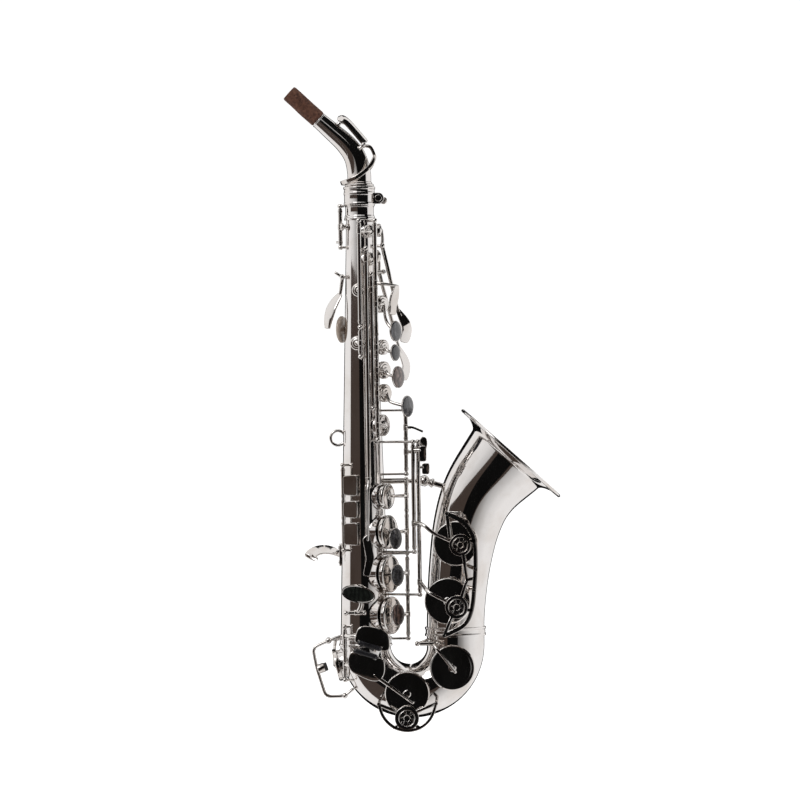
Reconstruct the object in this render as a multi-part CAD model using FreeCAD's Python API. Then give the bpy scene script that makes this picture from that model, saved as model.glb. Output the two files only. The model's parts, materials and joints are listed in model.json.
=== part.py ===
"""Curved soprano saxophone: one STEP file per sub-part, millimetres, +Z up.

The origin is the centre of the strap ring.  The body tube stands on a vertical axis at x = AXIS_X, the
player is on the -X side, the bell opens towards +X and the instrument's right-hand face looks to -Y.
Angles round the body tube are counted from +X (the bell side); -90 is the right-hand face.
"""
import FreeCAD, Part
import math
import os
from collections import namedtuple

V = FreeCAD.Vector
Z = V(0, 0, 1)
X = V(1, 0, 0)
Y = V(0, 1, 0)

# ---- driving dimensions: the tubes ---------------------------------------------------------------
AXIS_X = 17.3            # body tube axis
WALL = 0.8               # sheet thickness of every tube
BODY_R0 = 13.65          # outer radius of the body tube at z = 0
BODY_SLOPE = 0.0272      # radius lost per millimetre upwards
BODY_TOP = 154.0
BODY_BOTTOM = -146.0
BOW_CX = 48.8            # centre of the U bend
BOW_Z = -146.0
BOW_R = 31.5             # centreline radius of the U bend
BOW_R_IN = 17.6          # outer tube radius where the bow leaves the body
BOW_R_OUT = 20.2         # outer tube radius where the bow meets the bell
BELL_AXIS = ((80.3, -146.0, 20.2), (80.8, -122.0, 20.3), (83.6, -92.0, 21.4), (89.0, -63.0, 23.4),
             (98.0, -40.0, 26.0))          # x, z, outer radius of the bell's centreline stations
RIM_X, RIM_Z = 121.0, -12.0                # centre of the bell mouth
RIM_NX, RIM_NZ = 0.674, 0.739              # direction the bell mouth faces
THROAT_BACK = 6.4        # distance from the mouth plane back to the start of the flare
THROAT_R = 30.7
MOUTH_R = 44.9
RIM_WIRE_R = 1.1

# ---- driving dimensions: the neck ----------------------------------------------------------------
NECK_PATH = ((17.3, 176.4, 8.5), (17.2, 186.0, 8.1), (14.4, 197.0, 7.5), (8.0, 206.0, 6.7),
             (-1.2, 214.5, 5.9), (-10.5, 222.8, 5.2))     # x, z, outer radius up the neck's centreline
NECK_DX, NECK_DZ = -0.73, 0.684            # direction of the straight mouthpiece end
CORK_LENGTH = 28.0
CORK_R = 6.2
CORK_SEAT_R = 4.9
TENON_LENGTH = 17.8
RECEIVER_R = 11.2
NECK_COLLAR_R = 10.2
NECK_STOP_R = 5.7         # ring that the cork butts against
PIP_R = 1.6              # octave pips
PIP_BORE_R = 0.8
RECEIVER_BOTTOM = 152.0
RECEIVER_TOP = 175.6

# ---- driving dimensions: the key work ------------------------------------------------------------
ROD_R = 0.75             # steel pivot rods
BORE_R = 0.80            # bore of the hinge tubes
TUBE_R = 1.45            # outside of the hinge tubes
BALL_R = 1.75            # heads of the pivot posts
STEM_R = 0.85
RIM_H = 1.9              # height of a drawn tone hole above the tube's crown
PAD_GAP = 0.2            # clearance left between a closed cup and its tone hole
CUP_H = 3.0
CUP_WALL = 0.6
PEARL_H = 1.0
STACK_LIFT = 2.0         # how far the open cups stand off their tone holes
BELL_LIFT = 3.2

Hinge = namedtuple("Hinge", "x y")
ROD_A = Hinge(16.8, -21.0)       # high E and side B flat cups
ROD_B = Hinge(21.4, -20.6)       # high F sharp
ROD_C = Hinge(24.9, -19.4)       # side C
ROD_D = Hinge(27.9, -17.4)      # upper stack
ROD_L = Hinge(47.3, 3.4)         # lower stack
ROD_M = Hinge(52.3, -19.5)       # low B
ROD_N = Hinge(55.8, -16.0)       # low B flat
ROD_K = Hinge(47.5, -1.0)        # little-finger table
ROD_S = Hinge(3.2, -14.2)        # side key touches
ROD_T = Hinge(3.0, -16.5)        # low E flat and low C touches
ROD_O = Hinge(3.7, -3.0)         # body octave key

# Hinge tube from z0 to z1, the cup's angle, height and radius.  A cup that opens when its key is pressed is
# closed at rest; the others stand open by their lift and close.
CupKey = namedtuple("CupKey", "name hinge z0 z1 angle cup_z cup_r opens lift")
UPPER_ANGLE = -32.0
LOWER_ANGLE = -35.0
CUP_KEYS = (
    CupKey("b_key", ROD_D, 70.2, 105.8, UPPER_ANGLE, 93.0, 6.2, False, STACK_LIFT),
    CupKey("bis_key", ROD_D, 55.3, 69.9, UPPER_ANGLE, 63.0, 5.4, False, STACK_LIFT),
    CupKey("a_key", ROD_D, 38.3, 55.0, UPPER_ANGLE, 47.0, 6.2, False, STACK_LIFT),
    CupKey("g_key", ROD_D, 18.0, 38.0, UPPER_ANGLE, 31.0, 6.4, False, STACK_LIFT),
    CupKey("g_sharp_key", ROD_D, 0.3, 17.7, UPPER_ANGLE, 8.5, 7.6, True, STACK_LIFT),
    CupKey("f_sharp_cup_key", ROD_L, -53.2, -31.3, LOWER_ANGLE, -41.0, 9.2, False, STACK_LIFT),
    CupKey("f_key", ROD_L, -79.2, -53.5, LOWER_ANGLE, -66.0, 12.0, False, STACK_LIFT),
    CupKey("e_key", ROD_L, -109.2, -83.8, LOWER_ANGLE, -95.0, 13.2, False, STACK_LIFT),
    CupKey("d_key", ROD_L, -139.2, -109.5, LOWER_ANGLE, -124.0, 13.2, False, STACK_LIFT),
    CupKey("high_e_cup_key", ROD_A, 79.2, 149.4, -62.0, 144.0, 4.6, True, 1.6),
    CupKey("side_bb_cup_key", ROD_A, 58.4, 74.8, -100.0, 66.0, 5.0, True, 1.2),
    CupKey("side_c_cup_key", ROD_C, 22.3, 112.2, -95.0, 103.0, 4.8, True, 1.6),
    CupKey("high_f_sharp_key", ROD_B, -32.4, 130.0, -62.0, 124.5, 4.8, True, 1.3),
)

# key, pearl centre x, y, z, pearl radius; all pearls face their stack's angle
Pearl = namedtuple("Pearl", "key x y z r")
PEARLS = (
    Pearl("b_key", 41.0, -14.8, 74.0, 6.8),
    Pearl("bis_key", 40.5, -14.5, 59.0, 5.4),
    Pearl("a_key", 42.3, -15.6, 42.0, 7.2),
    Pearl("g_key", 48.5, -17.0, 21.5, 7.0),
    Pearl("f_key", 38.9, -15.2, -70.5, 7.0),
    Pearl("e_key", 39.8, -15.8, -96.0, 7.2),
    Pearl("d_key", 39.8, -15.8, -123.5, 7.2),
)


# ---- small helpers -------------------------------------------------------------------------------
def body_r(z):
    """Outer radius of the conical body tube at height z."""
    return BODY_R0 - BODY_SLOPE * z


def radial(angle):
    """Unit vector pointing away from the body axis at this angle."""
    a = math.radians(angle)
    return V(math.cos(a), math.sin(a), 0)


def tangent(angle):
    """Unit vector along the body's surface, counter-clockwise seen from above."""
    a = math.radians(angle)
    return V(-math.sin(a), math.cos(a), 0)


def around(angle, distance, z):
    """Point at this angle, distance from the body axis and height."""
    return V(AXIS_X, 0, z) + radial(angle) * distance


def ball(p, r):
    return Part.makeSphere(r, p)


def bar(p, q, r1, r2=None):
    """Round bar between two points, tapering when a second radius is given."""
    span = q - p
    if r2 is None or abs(r1 - r2) < 0.01:
        return Part.makeCylinder(r1, span.Length, p, span)
    return Part.makeCone(r1, r2, span.Length, p, span)


def rail(points, r):
    """Bent round rod through the points, with ball corners."""
    pieces = [bar(a, b, r) for a, b in zip(points, points[1:])]
    pieces += [ball(p, r * 1.01) for p in points]
    return join(pieces)


def join(pieces):
    """Fuse a list of overlapping solids into one."""
    return pieces[0].fuse(pieces[1:]) if len(pieces) > 1 else pieces[0]


def place(shape, at, direction):
    """Move a shape built on +Z at the origin to a point, pointing along a direction."""
    shape.Placement = FreeCAD.Placement(at, FreeCAD.Rotation(Z, direction))
    return shape


def turned(profile):
    """Solid of revolution about +Z from a closed list of (radius, height) corners."""
    points = [V(r, 0, h) for r, h in profile]
    wire = Part.makePolygon(points + [points[0]])
    return Part.Face(wire).revolve(V(0, 0, 0), Z, 360)


def loft(stations, inset=0.0):
    """Solid through round stations (centre, direction, radius), each shrunk by an inset."""
    wires = [Part.Wire(Part.makeCircle(r - inset, p, d)) for p, d, r in stations]
    return Part.makeLoft(wires, True, False)


def ring(at, axis, r, wire_r):
    """Round ring of round wire."""
    return Part.makeTorus(r, wire_r, at, axis)


def collar(at, axis, r_out, r_in, height):
    """Flat ring with a rectangular section."""
    outer = Part.makeCylinder(r_out, height, at, axis)
    return outer.cut(Part.makeCylinder(r_in, height, at, axis))


def plate(points, thickness_vector):
    """Flat plate from its corner points, extruded along a vector."""
    return Part.Face(Part.makePolygon(list(points) + [points[0]])).extrude(thickness_vector)


def soft_plate(points, thickness_vector):
    """Plate with a smooth closed outline through the points."""
    curve = Part.BSplineCurve()
    curve.interpolate(Points=list(points), PeriodicFlag=True)
    return Part.Face(Part.Wire(curve.toShape())).extrude(thickness_vector)


def export(name, shape):
    """Write one sub-part."""
    shape.exportStep("parts/" + name + ".step")


# ---- tubes ---------------------------------------------------------------------------------------
def chimney(foot, direction, length, r):
    """Outer cylinder and bore of a drawn tone hole standing on a tube."""
    outer = Part.makeCylinder(r, length, foot, direction)
    inner = Part.makeCylinder(r - 0.7, length + 1.0, foot, direction)
    return outer, inner


def with_tone_holes(solid, core, holes):
    """Add drawn tone holes to a tube; core is the tube's inner space."""
    outers = [outer for outer, inner in holes]
    inners = [inner for outer, inner in holes]
    return solid.fuse(outers).cut(core).cut(join(inners))


def body_holes():
    holes = []
    for key in CUP_KEYS:
        foot = around(key.angle, body_r(key.cup_z) - 5.0, key.cup_z)
        holes.append(chimney(foot, radial(key.angle), 5.0 + RIM_H, key.cup_r - 1.3))
    for hole in PALM_KEYS:
        foot = around(hole.angle, body_r(hole.cup_z) - 4.0, hole.cup_z)
        holes.append(chimney(foot, radial(hole.angle), 4.0 + RIM_H, hole.cup_r - 1.2))
    pip = around(OCTAVE_ANGLE, body_r(OCTAVE_Z) - 1.0, OCTAVE_Z)
    holes.append(chimney(pip, radial(OCTAVE_ANGLE), 1.0 + OCTAVE_PIP_H, 1.6))
    return holes


def body_tube():
    height = BODY_TOP - BODY_BOTTOM
    outer = Part.makeCone(body_r(BODY_BOTTOM), body_r(BODY_TOP), height, V(AXIS_X, 0, BODY_BOTTOM), Z)
    core = Part.makeCone(body_r(BODY_BOTTOM) - WALL, body_r(BODY_TOP) - WALL, height,
                         V(AXIS_X, 0, BODY_BOTTOM), Z)
    return with_tone_holes(outer, core, body_holes())


def bow_point(turn, lift=0.0):
    """Point of the U bend's centreline; turn is 0 at the body and 180 at the bell."""
    a = math.radians(180 + turn)
    return V(BOW_CX + (BOW_R + lift) * math.cos(a), 0, BOW_Z + (BOW_R + lift) * math.sin(a))


def bow_direction(turn):
    a = math.radians(270 + turn)
    return V(math.cos(a), 0, math.sin(a))


def bow_r(turn):
    return BOW_R_IN + (BOW_R_OUT - BOW_R_IN) * turn / 180.0


def bow_stations():
    return [(bow_point(t), bow_direction(t), bow_r(t)) for t in range(0, 181, 30)]


def bow_tube():
    stations = bow_stations()
    holes = []
    for cup in (LOW_EB, LOW_C):
        foot = V(cup.x, -cup.seat + 8.0, cup.z)
        holes.append(chimney(foot, -Y, 8.0, cup.r - 1.6))
    foot = LOW_CSHARP_SEAT - LOW_CSHARP_OUT * 8.0
    holes.append(chimney(foot, LOW_CSHARP_OUT, 8.0, LOW_CSHARP_R - 1.5))
    return with_tone_holes(loft(stations), loft(stations, WALL), holes)


def bell_stations():
    """Stations of the bell from the bow to the throat, with directions along the centreline."""
    mouth = V(RIM_X, 0, RIM_Z)
    out = V(RIM_NX, 0, RIM_NZ)
    points = [V(x, 0, z) for x, z, r in BELL_AXIS] + [mouth - out * THROAT_BACK]
    radii = [r for x, z, r in BELL_AXIS] + [THROAT_R]
    stations = [(points[0], Z, radii[0])]
    for i in range(1, len(points) - 1):
        stations.append((points[i], points[i + 1] - points[i - 1], radii[i]))
    stations.append((points[-1], out, radii[-1]))
    return stations


def bell_flare():
    """The wide mouth: a turned shell that curls outwards from the throat."""
    depth = THROAT_BACK
    steps = 8
    outer = []
    for i in range(steps + 1):
        a = math.radians(90.0 * i / steps)
        outer.append((MOUTH_R - (MOUTH_R - THROAT_R) * math.cos(a) ** 1.35, depth * math.sin(a) ** 1.1))
    outer[-1] = (MOUTH_R, depth - WALL)
    inner = [(THROAT_R - WALL, 0.0)] + [(r - 0.35, h + WALL) for r, h in outer[1:-1]]
    inner.append((MOUTH_R, depth))
    shell = turned(outer + inner[::-1])
    out = V(RIM_NX, 0, RIM_NZ)
    return place(shell, V(RIM_X, 0, RIM_Z) - out * depth, out)


def bell_tube():
    stations = bell_stations()
    holes = []
    for cup in (LOW_B, LOW_BB):
        foot = V(cup.x, -cup.seat + 8.0, cup.z)
        holes.append(chimney(foot, -Y, 8.0, cup.r - 1.6))
    return with_tone_holes(loft(stations), loft(stations, WALL), holes).fuse(bell_flare())


def bell_rim(bell):
    out = V(RIM_NX, 0, RIM_NZ)
    wire = ring(V(RIM_X, 0, RIM_Z) - out * 0.4, out, MOUTH_R, RIM_WIRE_R)
    return wire.cut(bell)


def bow_rings():
    """The two banded joints where the bow meets the body and the bell."""
    body_side = collar(V(AXIS_X, 0, BOW_Z + 0.3), Z, BOW_R_IN + 1.2, BOW_R_IN + 0.04, 6.4)
    bell_side = collar(V(BOW_CX + BOW_R, 0, BOW_Z + 6.6), Z, BOW_R_OUT + 1.3, BOW_R_OUT + 0.35, 6.5)
    return [body_side, bell_side]


# ---- low cups on the bow and bell ----------------------------------------------------------------
FlatCup = namedtuple("FlatCup", "x z r seat")
LOW_B = FlatCup(82.0, -74.0, 15.6, 24.6)
LOW_BB = FlatCup(76.5, -114.0, 16.2, 22.8)
LOW_EB = FlatCup(77.5, -160.5, 15.8, 21.6)
LOW_C = FlatCup(46.5, -178.0, 15.6, 20.8)
LOW_CSHARP_R = 11.5
LOW_CSHARP_TURN = 14.0
LOW_CSHARP_OUT = (bow_point(LOW_CSHARP_TURN) - V(BOW_CX, 0, BOW_Z)).normalize()
LOW_CSHARP_SEAT = bow_point(LOW_CSHARP_TURN) + LOW_CSHARP_OUT * (bow_r(LOW_CSHARP_TURN) + RIM_H)

# ---- palm keys: rocking levers that lie in a radial plane ----------------------------------------
PalmKey = namedtuple("PalmKey", "name angle cup_z cup_r hinge_z hinge_d touch_z touch_d")
PALM_KEYS = (
    PalmKey("palm_f_key", 2.0, 145.0, 4.6, 134.0, 15.5, 77.0, 30.5),
    PalmKey("palm_eb_key", 36.0, 127.0, 4.6, 116.0, 16.0, 51.0, 37.0),
    PalmKey("palm_d_key", 80.0, 112.0, 4.8, 101.0, 16.5, 60.0, 30.0),
)
PALM_TUBE = 7.0

# ---- octave key on the body ----------------------------------------------------------------------
OCTAVE_ANGLE = -160.0
OCTAVE_Z = 147.5
OCTAVE_PIP_H = 2.6


# ---- cups, pearls, hinges ------------------------------------------------------------------------
def cup_shell(at, out, r):
    """Stamped pad cup, open towards the tone hole, with a stepped crown."""
    shell = turned(((0, 1.7), (r - CUP_WALL, 1.7), (r - CUP_WALL, 0), (r, 0), (r, 2.2), (r - 0.7, CUP_H),
                    (0.62 * r, CUP_H), (0.58 * r, CUP_H + 0.4), (0, CUP_H + 0.4)))
    return place(shell, at, out)


def pearl_holder(at, out, r):
    """Shallow tray that carries a finger pearl."""
    tray = turned(((0, -1.0), (r - 1.2, -1.0), (r + 0.55, 0.1), (r + 0.55, 0.9), (r + 0.03, 0.9),
                   (r + 0.03, 0.0), (0, 0.0)))
    return place(tray, at, out)


def pearl_disc(at, out, r):
    """Finger pearl: a disc with a gently crowned face."""
    crown = 1.0
    side = PEARL_H
    rise_r = (r * r + crown * crown) / (2 * crown)
    half = math.asin(r / rise_r) / 2
    middle = V(rise_r * math.sin(half), 0, side + crown - rise_r * (1 - math.cos(half)))
    arc = Part.Arc(V(r, 0, side), middle, V(0, 0, side + crown)).toShape()
    lines = [Part.makeLine(V(0, 0, side + crown), V(0, 0, 0)), Part.makeLine(V(0, 0, 0), V(r, 0, 0)),
             Part.makeLine(V(r, 0, 0), V(r, 0, side))]
    disc = Part.Face(Part.Wire([arc] + lines)).revolve(V(0, 0, 0), Z, 360)
    return place(disc, at, out)


def hinge_tube(hinge, z0, z1):
    return Part.makeCylinder(TUBE_R, z1 - z0, V(hinge.x, hinge.y, z0), Z)


def hinge_bore(hinge, z0, z1):
    return Part.makeCylinder(BORE_R, z1 - z0 + 2.0, V(hinge.x, hinge.y, z0 - 1.0), Z)


def opening_sense(hinge, at, out):
    """+1 when turning counter-clockwise about +Z lifts the cup off its hole, otherwise -1."""
    swing = V(-(at.y - hinge.y), at.x - hinge.x, 0)
    return 1.0 if swing.dot(out) > 0 else -1.0


def closed_cup_point(key):
    return around(key.angle, body_r(key.cup_z) + RIM_H + PAD_GAP, key.cup_z)


def lift_angle(key):
    """Degrees the key turns between closed and open."""
    at = closed_cup_point(key)
    out = radial(key.angle)
    swing = V(-(at.y - key.hinge.y), at.x - key.hinge.x, 0)
    return math.degrees(key.lift / abs(swing.dot(out)))


def rest_turn(key):
    """Angle from the closed place to the rest place, degrees about +Z."""
    if key.opens:
        return 0.0
    return opening_sense(key.hinge, closed_cup_point(key), radial(key.angle)) * lift_angle(key)


def at_rest(key, shape):
    """Turn a key drawn closed to where it stands at rest."""
    return shape.rotate(V(key.hinge.x, key.hinge.y, 0), Z, rest_turn(key))


def key_named(name):
    return [k for k in CUP_KEYS if k.name == name][0]


def stack_out(key):
    return radial(UPPER_ANGLE if key.hinge is ROD_D else LOWER_ANGLE)


def key_arm(key):
    """Arm from the hinge tube over the crown of the cup."""
    at = closed_cup_point(key)
    out = radial(key.angle)
    hinge_z = min(max(key.cup_z, key.z0 + 2.0), key.z1 - 2.0)
    root = V(key.hinge.x, key.hinge.y, hinge_z)
    crown = at + out * (CUP_H + 0.6)
    if key.name in LOW_ARMS:
        knee = around(LOW_ARMS[key.name], 16.4, key.cup_z)
        return [bar(root, knee, 1.1), ball(knee, 1.12), bar(knee, crown, 1.1, 1.0), ball(crown, 1.15)]
    return [bar(root, crown, 1.35, 1.0), ball(crown, 1.25)]


def pearl_closed(key, pearl):
    """Centre and facing of a pearl when its key is pressed; PEARLS holds the places at rest."""
    turn = FreeCAD.Rotation(Z, -rest_turn(key))
    pivot = V(key.hinge.x, key.hinge.y, 0)
    return pivot + turn.multVec(V(pearl.x, pearl.y, pearl.z) - pivot), turn.multVec(stack_out(key))


def pearl_arm(key, pearl):
    """Stalk from the key's arm to the tray of its pearl."""
    tray, out = pearl_closed(key, pearl)
    cup_top = closed_cup_point(key) + radial(key.angle) * (CUP_H + 0.6)
    rise = 2.0 if key.hinge is ROD_D else 1.3
    knee = V(cup_top.x, cup_top.y, cup_top.z * 0.35 + pearl.z * 0.65) + out * rise
    start = tray - out * 1.3
    return [pearl_holder(tray, out, pearl.r), ball(start, 1.02), bar(start, knee, 1.0),
            bar(knee, cup_top, 1.1), ball(knee, 1.12)]


def cup_key(key):
    """A complete cup key at rest: cup, arm, hinge tube and, where it has one, the pearl's tray."""
    at = closed_cup_point(key)
    out = radial(key.angle)
    pieces = [cup_shell(at, out, key.cup_r), hinge_tube(key.hinge, key.z0, key.z1)] + key_arm(key)
    for pearl in PEARLS:
        if pearl.key == key.name:
            pieces += pearl_arm(key, pearl)
    if key.name in EXTRA_TOUCHES:
        pieces += EXTRA_TOUCHES[key.name]()
    shape = join(pieces).cut(hinge_bore(key.hinge, key.z0, key.z1))
    return at_rest(key, shape)


def pearl_of(pearl):
    return pearl_disc(V(pearl.x, pearl.y, pearl.z), stack_out(key_named(pearl.key)), pearl.r)


# keys whose arm dips under a neighbouring rod, with the angle of the dip
LOW_ARMS = {"side_c_cup_key": -68.0}


def high_f_sharp_touch():
    """Long stepped touch that hangs in front of the right-hand face."""
    front = -25.6
    corners = [(20.6, -66.5), (16.4, -70.0), (18.8, -84.0), (16.4, -95.3), (21.0, -96.6), (24.6, -84.0),
               (22.0, -69.0)]
    pad = plate([V(x, front, z) for x, z in corners], V(0, 1.3, 0))
    lever = rail([V(ROD_B.x, ROD_B.y, -29.5), V(20.9, front + 0.7, -33.0), V(20.2, front + 0.7, -70.0)], 1.1)
    return [pad, lever]


EXTRA_TOUCHES = {"high_f_sharp_key": high_f_sharp_touch}


# ---- palm keys -----------------------------------------------------------------------------------
def palm_hinge_point(key):
    return around(key.angle, key.hinge_d, key.hinge_z)


def palm_key(key):
    """Rocking key: cup above the hinge, lever and curved touch below it."""
    out = radial(key.angle)
    side = tangent(key.angle)
    at = around(key.angle, body_r(key.cup_z) + RIM_H + PAD_GAP, key.cup_z)
    hinge = palm_hinge_point(key)
    tube = Part.makeCylinder(TUBE_R, PALM_TUBE, hinge - side * (PALM_TUBE / 2), side)
    bore = Part.makeCylinder(BORE_R, PALM_TUBE + 2, hinge - side * (PALM_TUBE / 2 + 1), side)
    crown = at + out * (CUP_H + 0.5)
    top = around(key.angle, key.touch_d - 4.0, key.touch_z + 12.0)
    touch = palm_touch(key)
    pieces = [cup_shell(at, out, key.cup_r), tube, bar(hinge, crown, 1.3, 1.0), ball(crown, 1.2),
              bar(hinge, top, 1.4, 1.2), ball(top, 1.4), touch]
    return join(pieces).cut(bore)


def palm_touch(key):
    """Curved leaf that the palm presses: an arched strip standing off the body."""
    side = tangent(key.angle)
    low = around(key.angle, key.touch_d, key.touch_z - 11.0)
    mid = around(key.angle, key.touch_d + 1.8, key.touch_z)
    high = around(key.angle, key.touch_d - 4.0, key.touch_z + 12.0)
    outer = Part.Arc(low, mid, high).toShape()
    back = radial(key.angle) * -1.5
    inner = Part.Arc(high + back, mid + back, low + back).toShape()
    wire = Part.Wire([outer, Part.makeLine(high, high + back), inner, Part.makeLine(low + back, low)])
    strip = Part.Face(wire)
    strip.translate(side * -4.5)
    return strip.extrude(side * 9.0)


# ---- front F -------------------------------------------------------------------------------------
FRONT_F_Z0, FRONT_F_Z1 = 106.1, 149.4


def front_f_key():
    """Teardrop touch above the B pearl on its own hinge tube."""
    shelf = rail([V(ROD_D.x, ROD_D.y, 107.6), V(34.0, -19.6, 106.9), V(42.6, -15.6, 105.8)], 1.1)
    outline = [V(43.8, 0, 105.0), V(41.4, 0, 95.0), V(40.2, 0, 85.6), V(38.4, 0, 85.6), V(38.8, 0, 95.0),
               V(41.8, 0, 106.4)]
    leaf = plate([V(p.x, -18.6, p.z) for p in outline], V(0, 7.4, 0))
    pieces = [hinge_tube(ROD_D, FRONT_F_Z0, FRONT_F_Z1), shelf, leaf]
    return join(pieces).cut(hinge_bore(ROD_D, FRONT_F_Z0, FRONT_F_Z1))


# ---- side key touches ----------------------------------------------------------------------------
SideTouch = namedtuple("SideTouch", "name z0 z1 tube0 tube1")
SIDE_TOUCHES = (
    SideTouch("high_e_touch", -40.5, -25.5, -42.2, -20.6),
    SideTouch("side_c_touch", -56.0, -43.5, -57.4, -42.5),
    SideTouch("side_bb_touch", -75.0, -58.7, -76.4, -57.7),
)
SIDE_DIRECTION = V(0.87, -0.493, 0)


def side_touch(touch):
    """Flat finger plate on its own short tube."""
    thick = V(SIDE_DIRECTION.y, -SIDE_DIRECTION.x, 0)
    near = V(ROD_S.x, ROD_S.y, 0) + SIDE_DIRECTION * 0.6
    far = V(ROD_S.x, ROD_S.y, 0) + SIDE_DIRECTION * 11.8
    corners = [V(near.x, near.y, touch.z0), V(far.x, far.y, touch.z0), V(far.x, far.y, touch.z1),
               V(near.x, near.y, touch.z1)]
    leaf = plate(corners, thick * 1.4)
    tube = hinge_tube(ROD_S, touch.tube0, touch.tube1)
    return join([leaf, tube]).cut(hinge_bore(ROD_S, touch.tube0, touch.tube1))


# ---- low keys ------------------------------------------------------------------------------------
def swing_angle(hinge, cup, lift):
    """Degrees needed to move a cup on the -Y face by this lift about a vertical hinge."""
    return math.degrees(lift / abs(cup.x - hinge.x))


LOW_B_Z0, LOW_B_Z1 = -78.0, -5.0
LOW_BB_Z0, LOW_BB_Z1 = -107.9, -5.0
LOW_B_OPEN = swing_angle(ROD_M, LOW_B, BELL_LIFT)
LOW_BB_OPEN = swing_angle(ROD_N, LOW_BB, BELL_LIFT)
LOW_C_OPEN = swing_angle(ROD_T, LOW_C, BELL_LIFT)


def flat_cup_shell(cup):
    return cup_shell(V(cup.x, -cup.seat - PAD_GAP, cup.z), -Y, cup.r)


def crown_y(cup, extra=0.6):
    return -cup.seat - PAD_GAP - CUP_H - extra


def low_b_key():
    y = crown_y(LOW_B)
    arm = rail([V(ROD_M.x, ROD_M.y, -60.0), V(59.0, y + 1.0, -60.0), V(66.0, y, -66.5),
                V(LOW_B.x - 1.0, y, -73.5)], 1.3)
    leaf = plate([V(56.8, -22.2, -6.0), V(61.8, -22.2, -6.0), V(61.8, -22.2, -17.0), V(56.8, -22.2, -17.0)],
                 V(0, 2.0, 0))
    link = bar(V(ROD_M.x, ROD_M.y, -9.0), V(58.0, -21.2, -9.0), 1.2)
    pieces = [flat_cup_shell(LOW_B), arm, hinge_tube(ROD_M, LOW_B_Z0, LOW_B_Z1), link, leaf]
    shape = join(pieces).cut(hinge_bore(ROD_M, LOW_B_Z0, LOW_B_Z1))
    return shape.rotate(V(ROD_M.x, ROD_M.y, 0), Z, -LOW_B_OPEN)


def low_bb_key():
    y = crown_y(LOW_BB)
    arm = rail([V(ROD_N.x, ROD_N.y, -101.0), V(59.5, -21.5, -104.0), V(63.0, y, -107.5),
                V(LOW_BB.x - 1.0, y, -114.0)], 1.3)
    leaf = plate([V(58.4, -16.4, -18.2), V(63.6, -16.4, -18.2), V(63.6, -16.4, -26.0), V(58.4, -16.4, -26.0)],
                 V(0, 1.8, 0))
    link = bar(V(ROD_N.x, ROD_N.y, -21.0), V(59.4, -15.6, -21.0), 1.0)
    pieces = [flat_cup_shell(LOW_BB), arm, hinge_tube(ROD_N, LOW_BB_Z0, LOW_BB_Z1), link, leaf]
    shape = join(pieces).cut(hinge_bore(ROD_N, LOW_BB_Z0, LOW_BB_Z1))
    return shape.rotate(V(ROD_N.x, ROD_N.y, 0), Z, -LOW_BB_OPEN)


# The two little-finger touches lean like the finger: their long edges fall 18 degrees to the right.
EB_TUBE = (-146.2, -133.2)
C_TUBE = (-166.6, -146.5)
TOUCH_Y = -25.6
TOUCH_T = 2.2
ROLLER_R = 1.9
ROLLER_SLOPE = math.radians(-18.0)
ROLLER_AXIS = V(math.cos(ROLLER_SLOPE), 0, math.sin(ROLLER_SLOPE))
ROLLER_LENGTH = 17.0
EB_ROLLER_AT = V(12.2, TOUCH_Y + 1.3, -141.7)
C_ROLLER_AT = V(10.0, TOUCH_Y + 1.3, -147.3)


def roller(at):
    """Finger roller: a slim barrel bored for its pin."""
    barrel = turned(((BORE_R, 0), (ROLLER_R - 0.4, 0), (ROLLER_R, 1.0), (ROLLER_R, ROLLER_LENGTH - 1.0),
                     (ROLLER_R - 0.4, ROLLER_LENGTH), (BORE_R, ROLLER_LENGTH)))
    return place(barrel, at, ROLLER_AXIS)


def roller_pin(at):
    return Part.makeCylinder(ROD_R, ROLLER_LENGTH + 3.0, at - ROLLER_AXIS * 1.5, ROLLER_AXIS)


def roller_room(at):
    return Part.makeCylinder(ROLLER_R + 0.35, ROLLER_LENGTH + 0.6, at - ROLLER_AXIS * 0.3, ROLLER_AXIS)


def eb_touch_lever():
    """E flat touch with its roller pin, on the tube nearest the body."""
    outline = [(11.0, -137.5), (14.2, -131.6), (20.0, -130.4), (28.0, -132.4), (34.4, -138.0),
               (33.8, -146.6), (30.8, -148.6), (10.0, -142.0)]
    leaf = plate([V(x, TOUCH_Y, z) for x, z in outline], V(0, TOUCH_T, 0))
    link = rail([V(ROD_T.x, ROD_T.y, -137.5), V(8.5, TOUCH_Y + 3.4, -137.8),
                 V(15.0, TOUCH_Y + 1.2, -137.8)], 1.3)
    body = join([leaf, link, hinge_tube(ROD_T, *EB_TUBE)])
    body = body.cut(roller_room(EB_ROLLER_AT)).cut(hinge_bore(ROD_T, *EB_TUBE))
    return body.fuse(roller_pin(EB_ROLLER_AT))


def low_c_key():
    """Low C: touch, roller pin, long arm and cup in one piece, drawn closed and turned open."""
    outline = [(8.6, -147.4), (29.4, -153.6), (29.4, -163.0), (26.0, -168.6), (20.6, -168.6), (8.0, -161.6),
               (5.0, -155.0)]
    leaf = plate([V(x, TOUCH_Y, z) for x, z in outline], V(0, TOUCH_T, 0))
    link = rail([V(ROD_T.x, ROD_T.y, -158.0), V(7.5, TOUCH_Y + 3.4, -158.0),
                 V(14.0, TOUCH_Y + 1.2, -158.0)], 1.3)
    y = crown_y(LOW_C)
    arm = rail([V(25.0, TOUCH_Y + 1.1, -165.4), V(30.0, y, -169.0), V(LOW_C.x + 4.0, y, -184.0)], 1.3)
    body = join([leaf, link, arm, flat_cup_shell(LOW_C), hinge_tube(ROD_T, *C_TUBE)])
    body = body.cut(roller_room(C_ROLLER_AT)).cut(hinge_bore(ROD_T, *C_TUBE))
    body = body.fuse(roller_pin(C_ROLLER_AT))
    return body.rotate(V(ROD_T.x, ROD_T.y, 0), Z, -LOW_C_OPEN)


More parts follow.
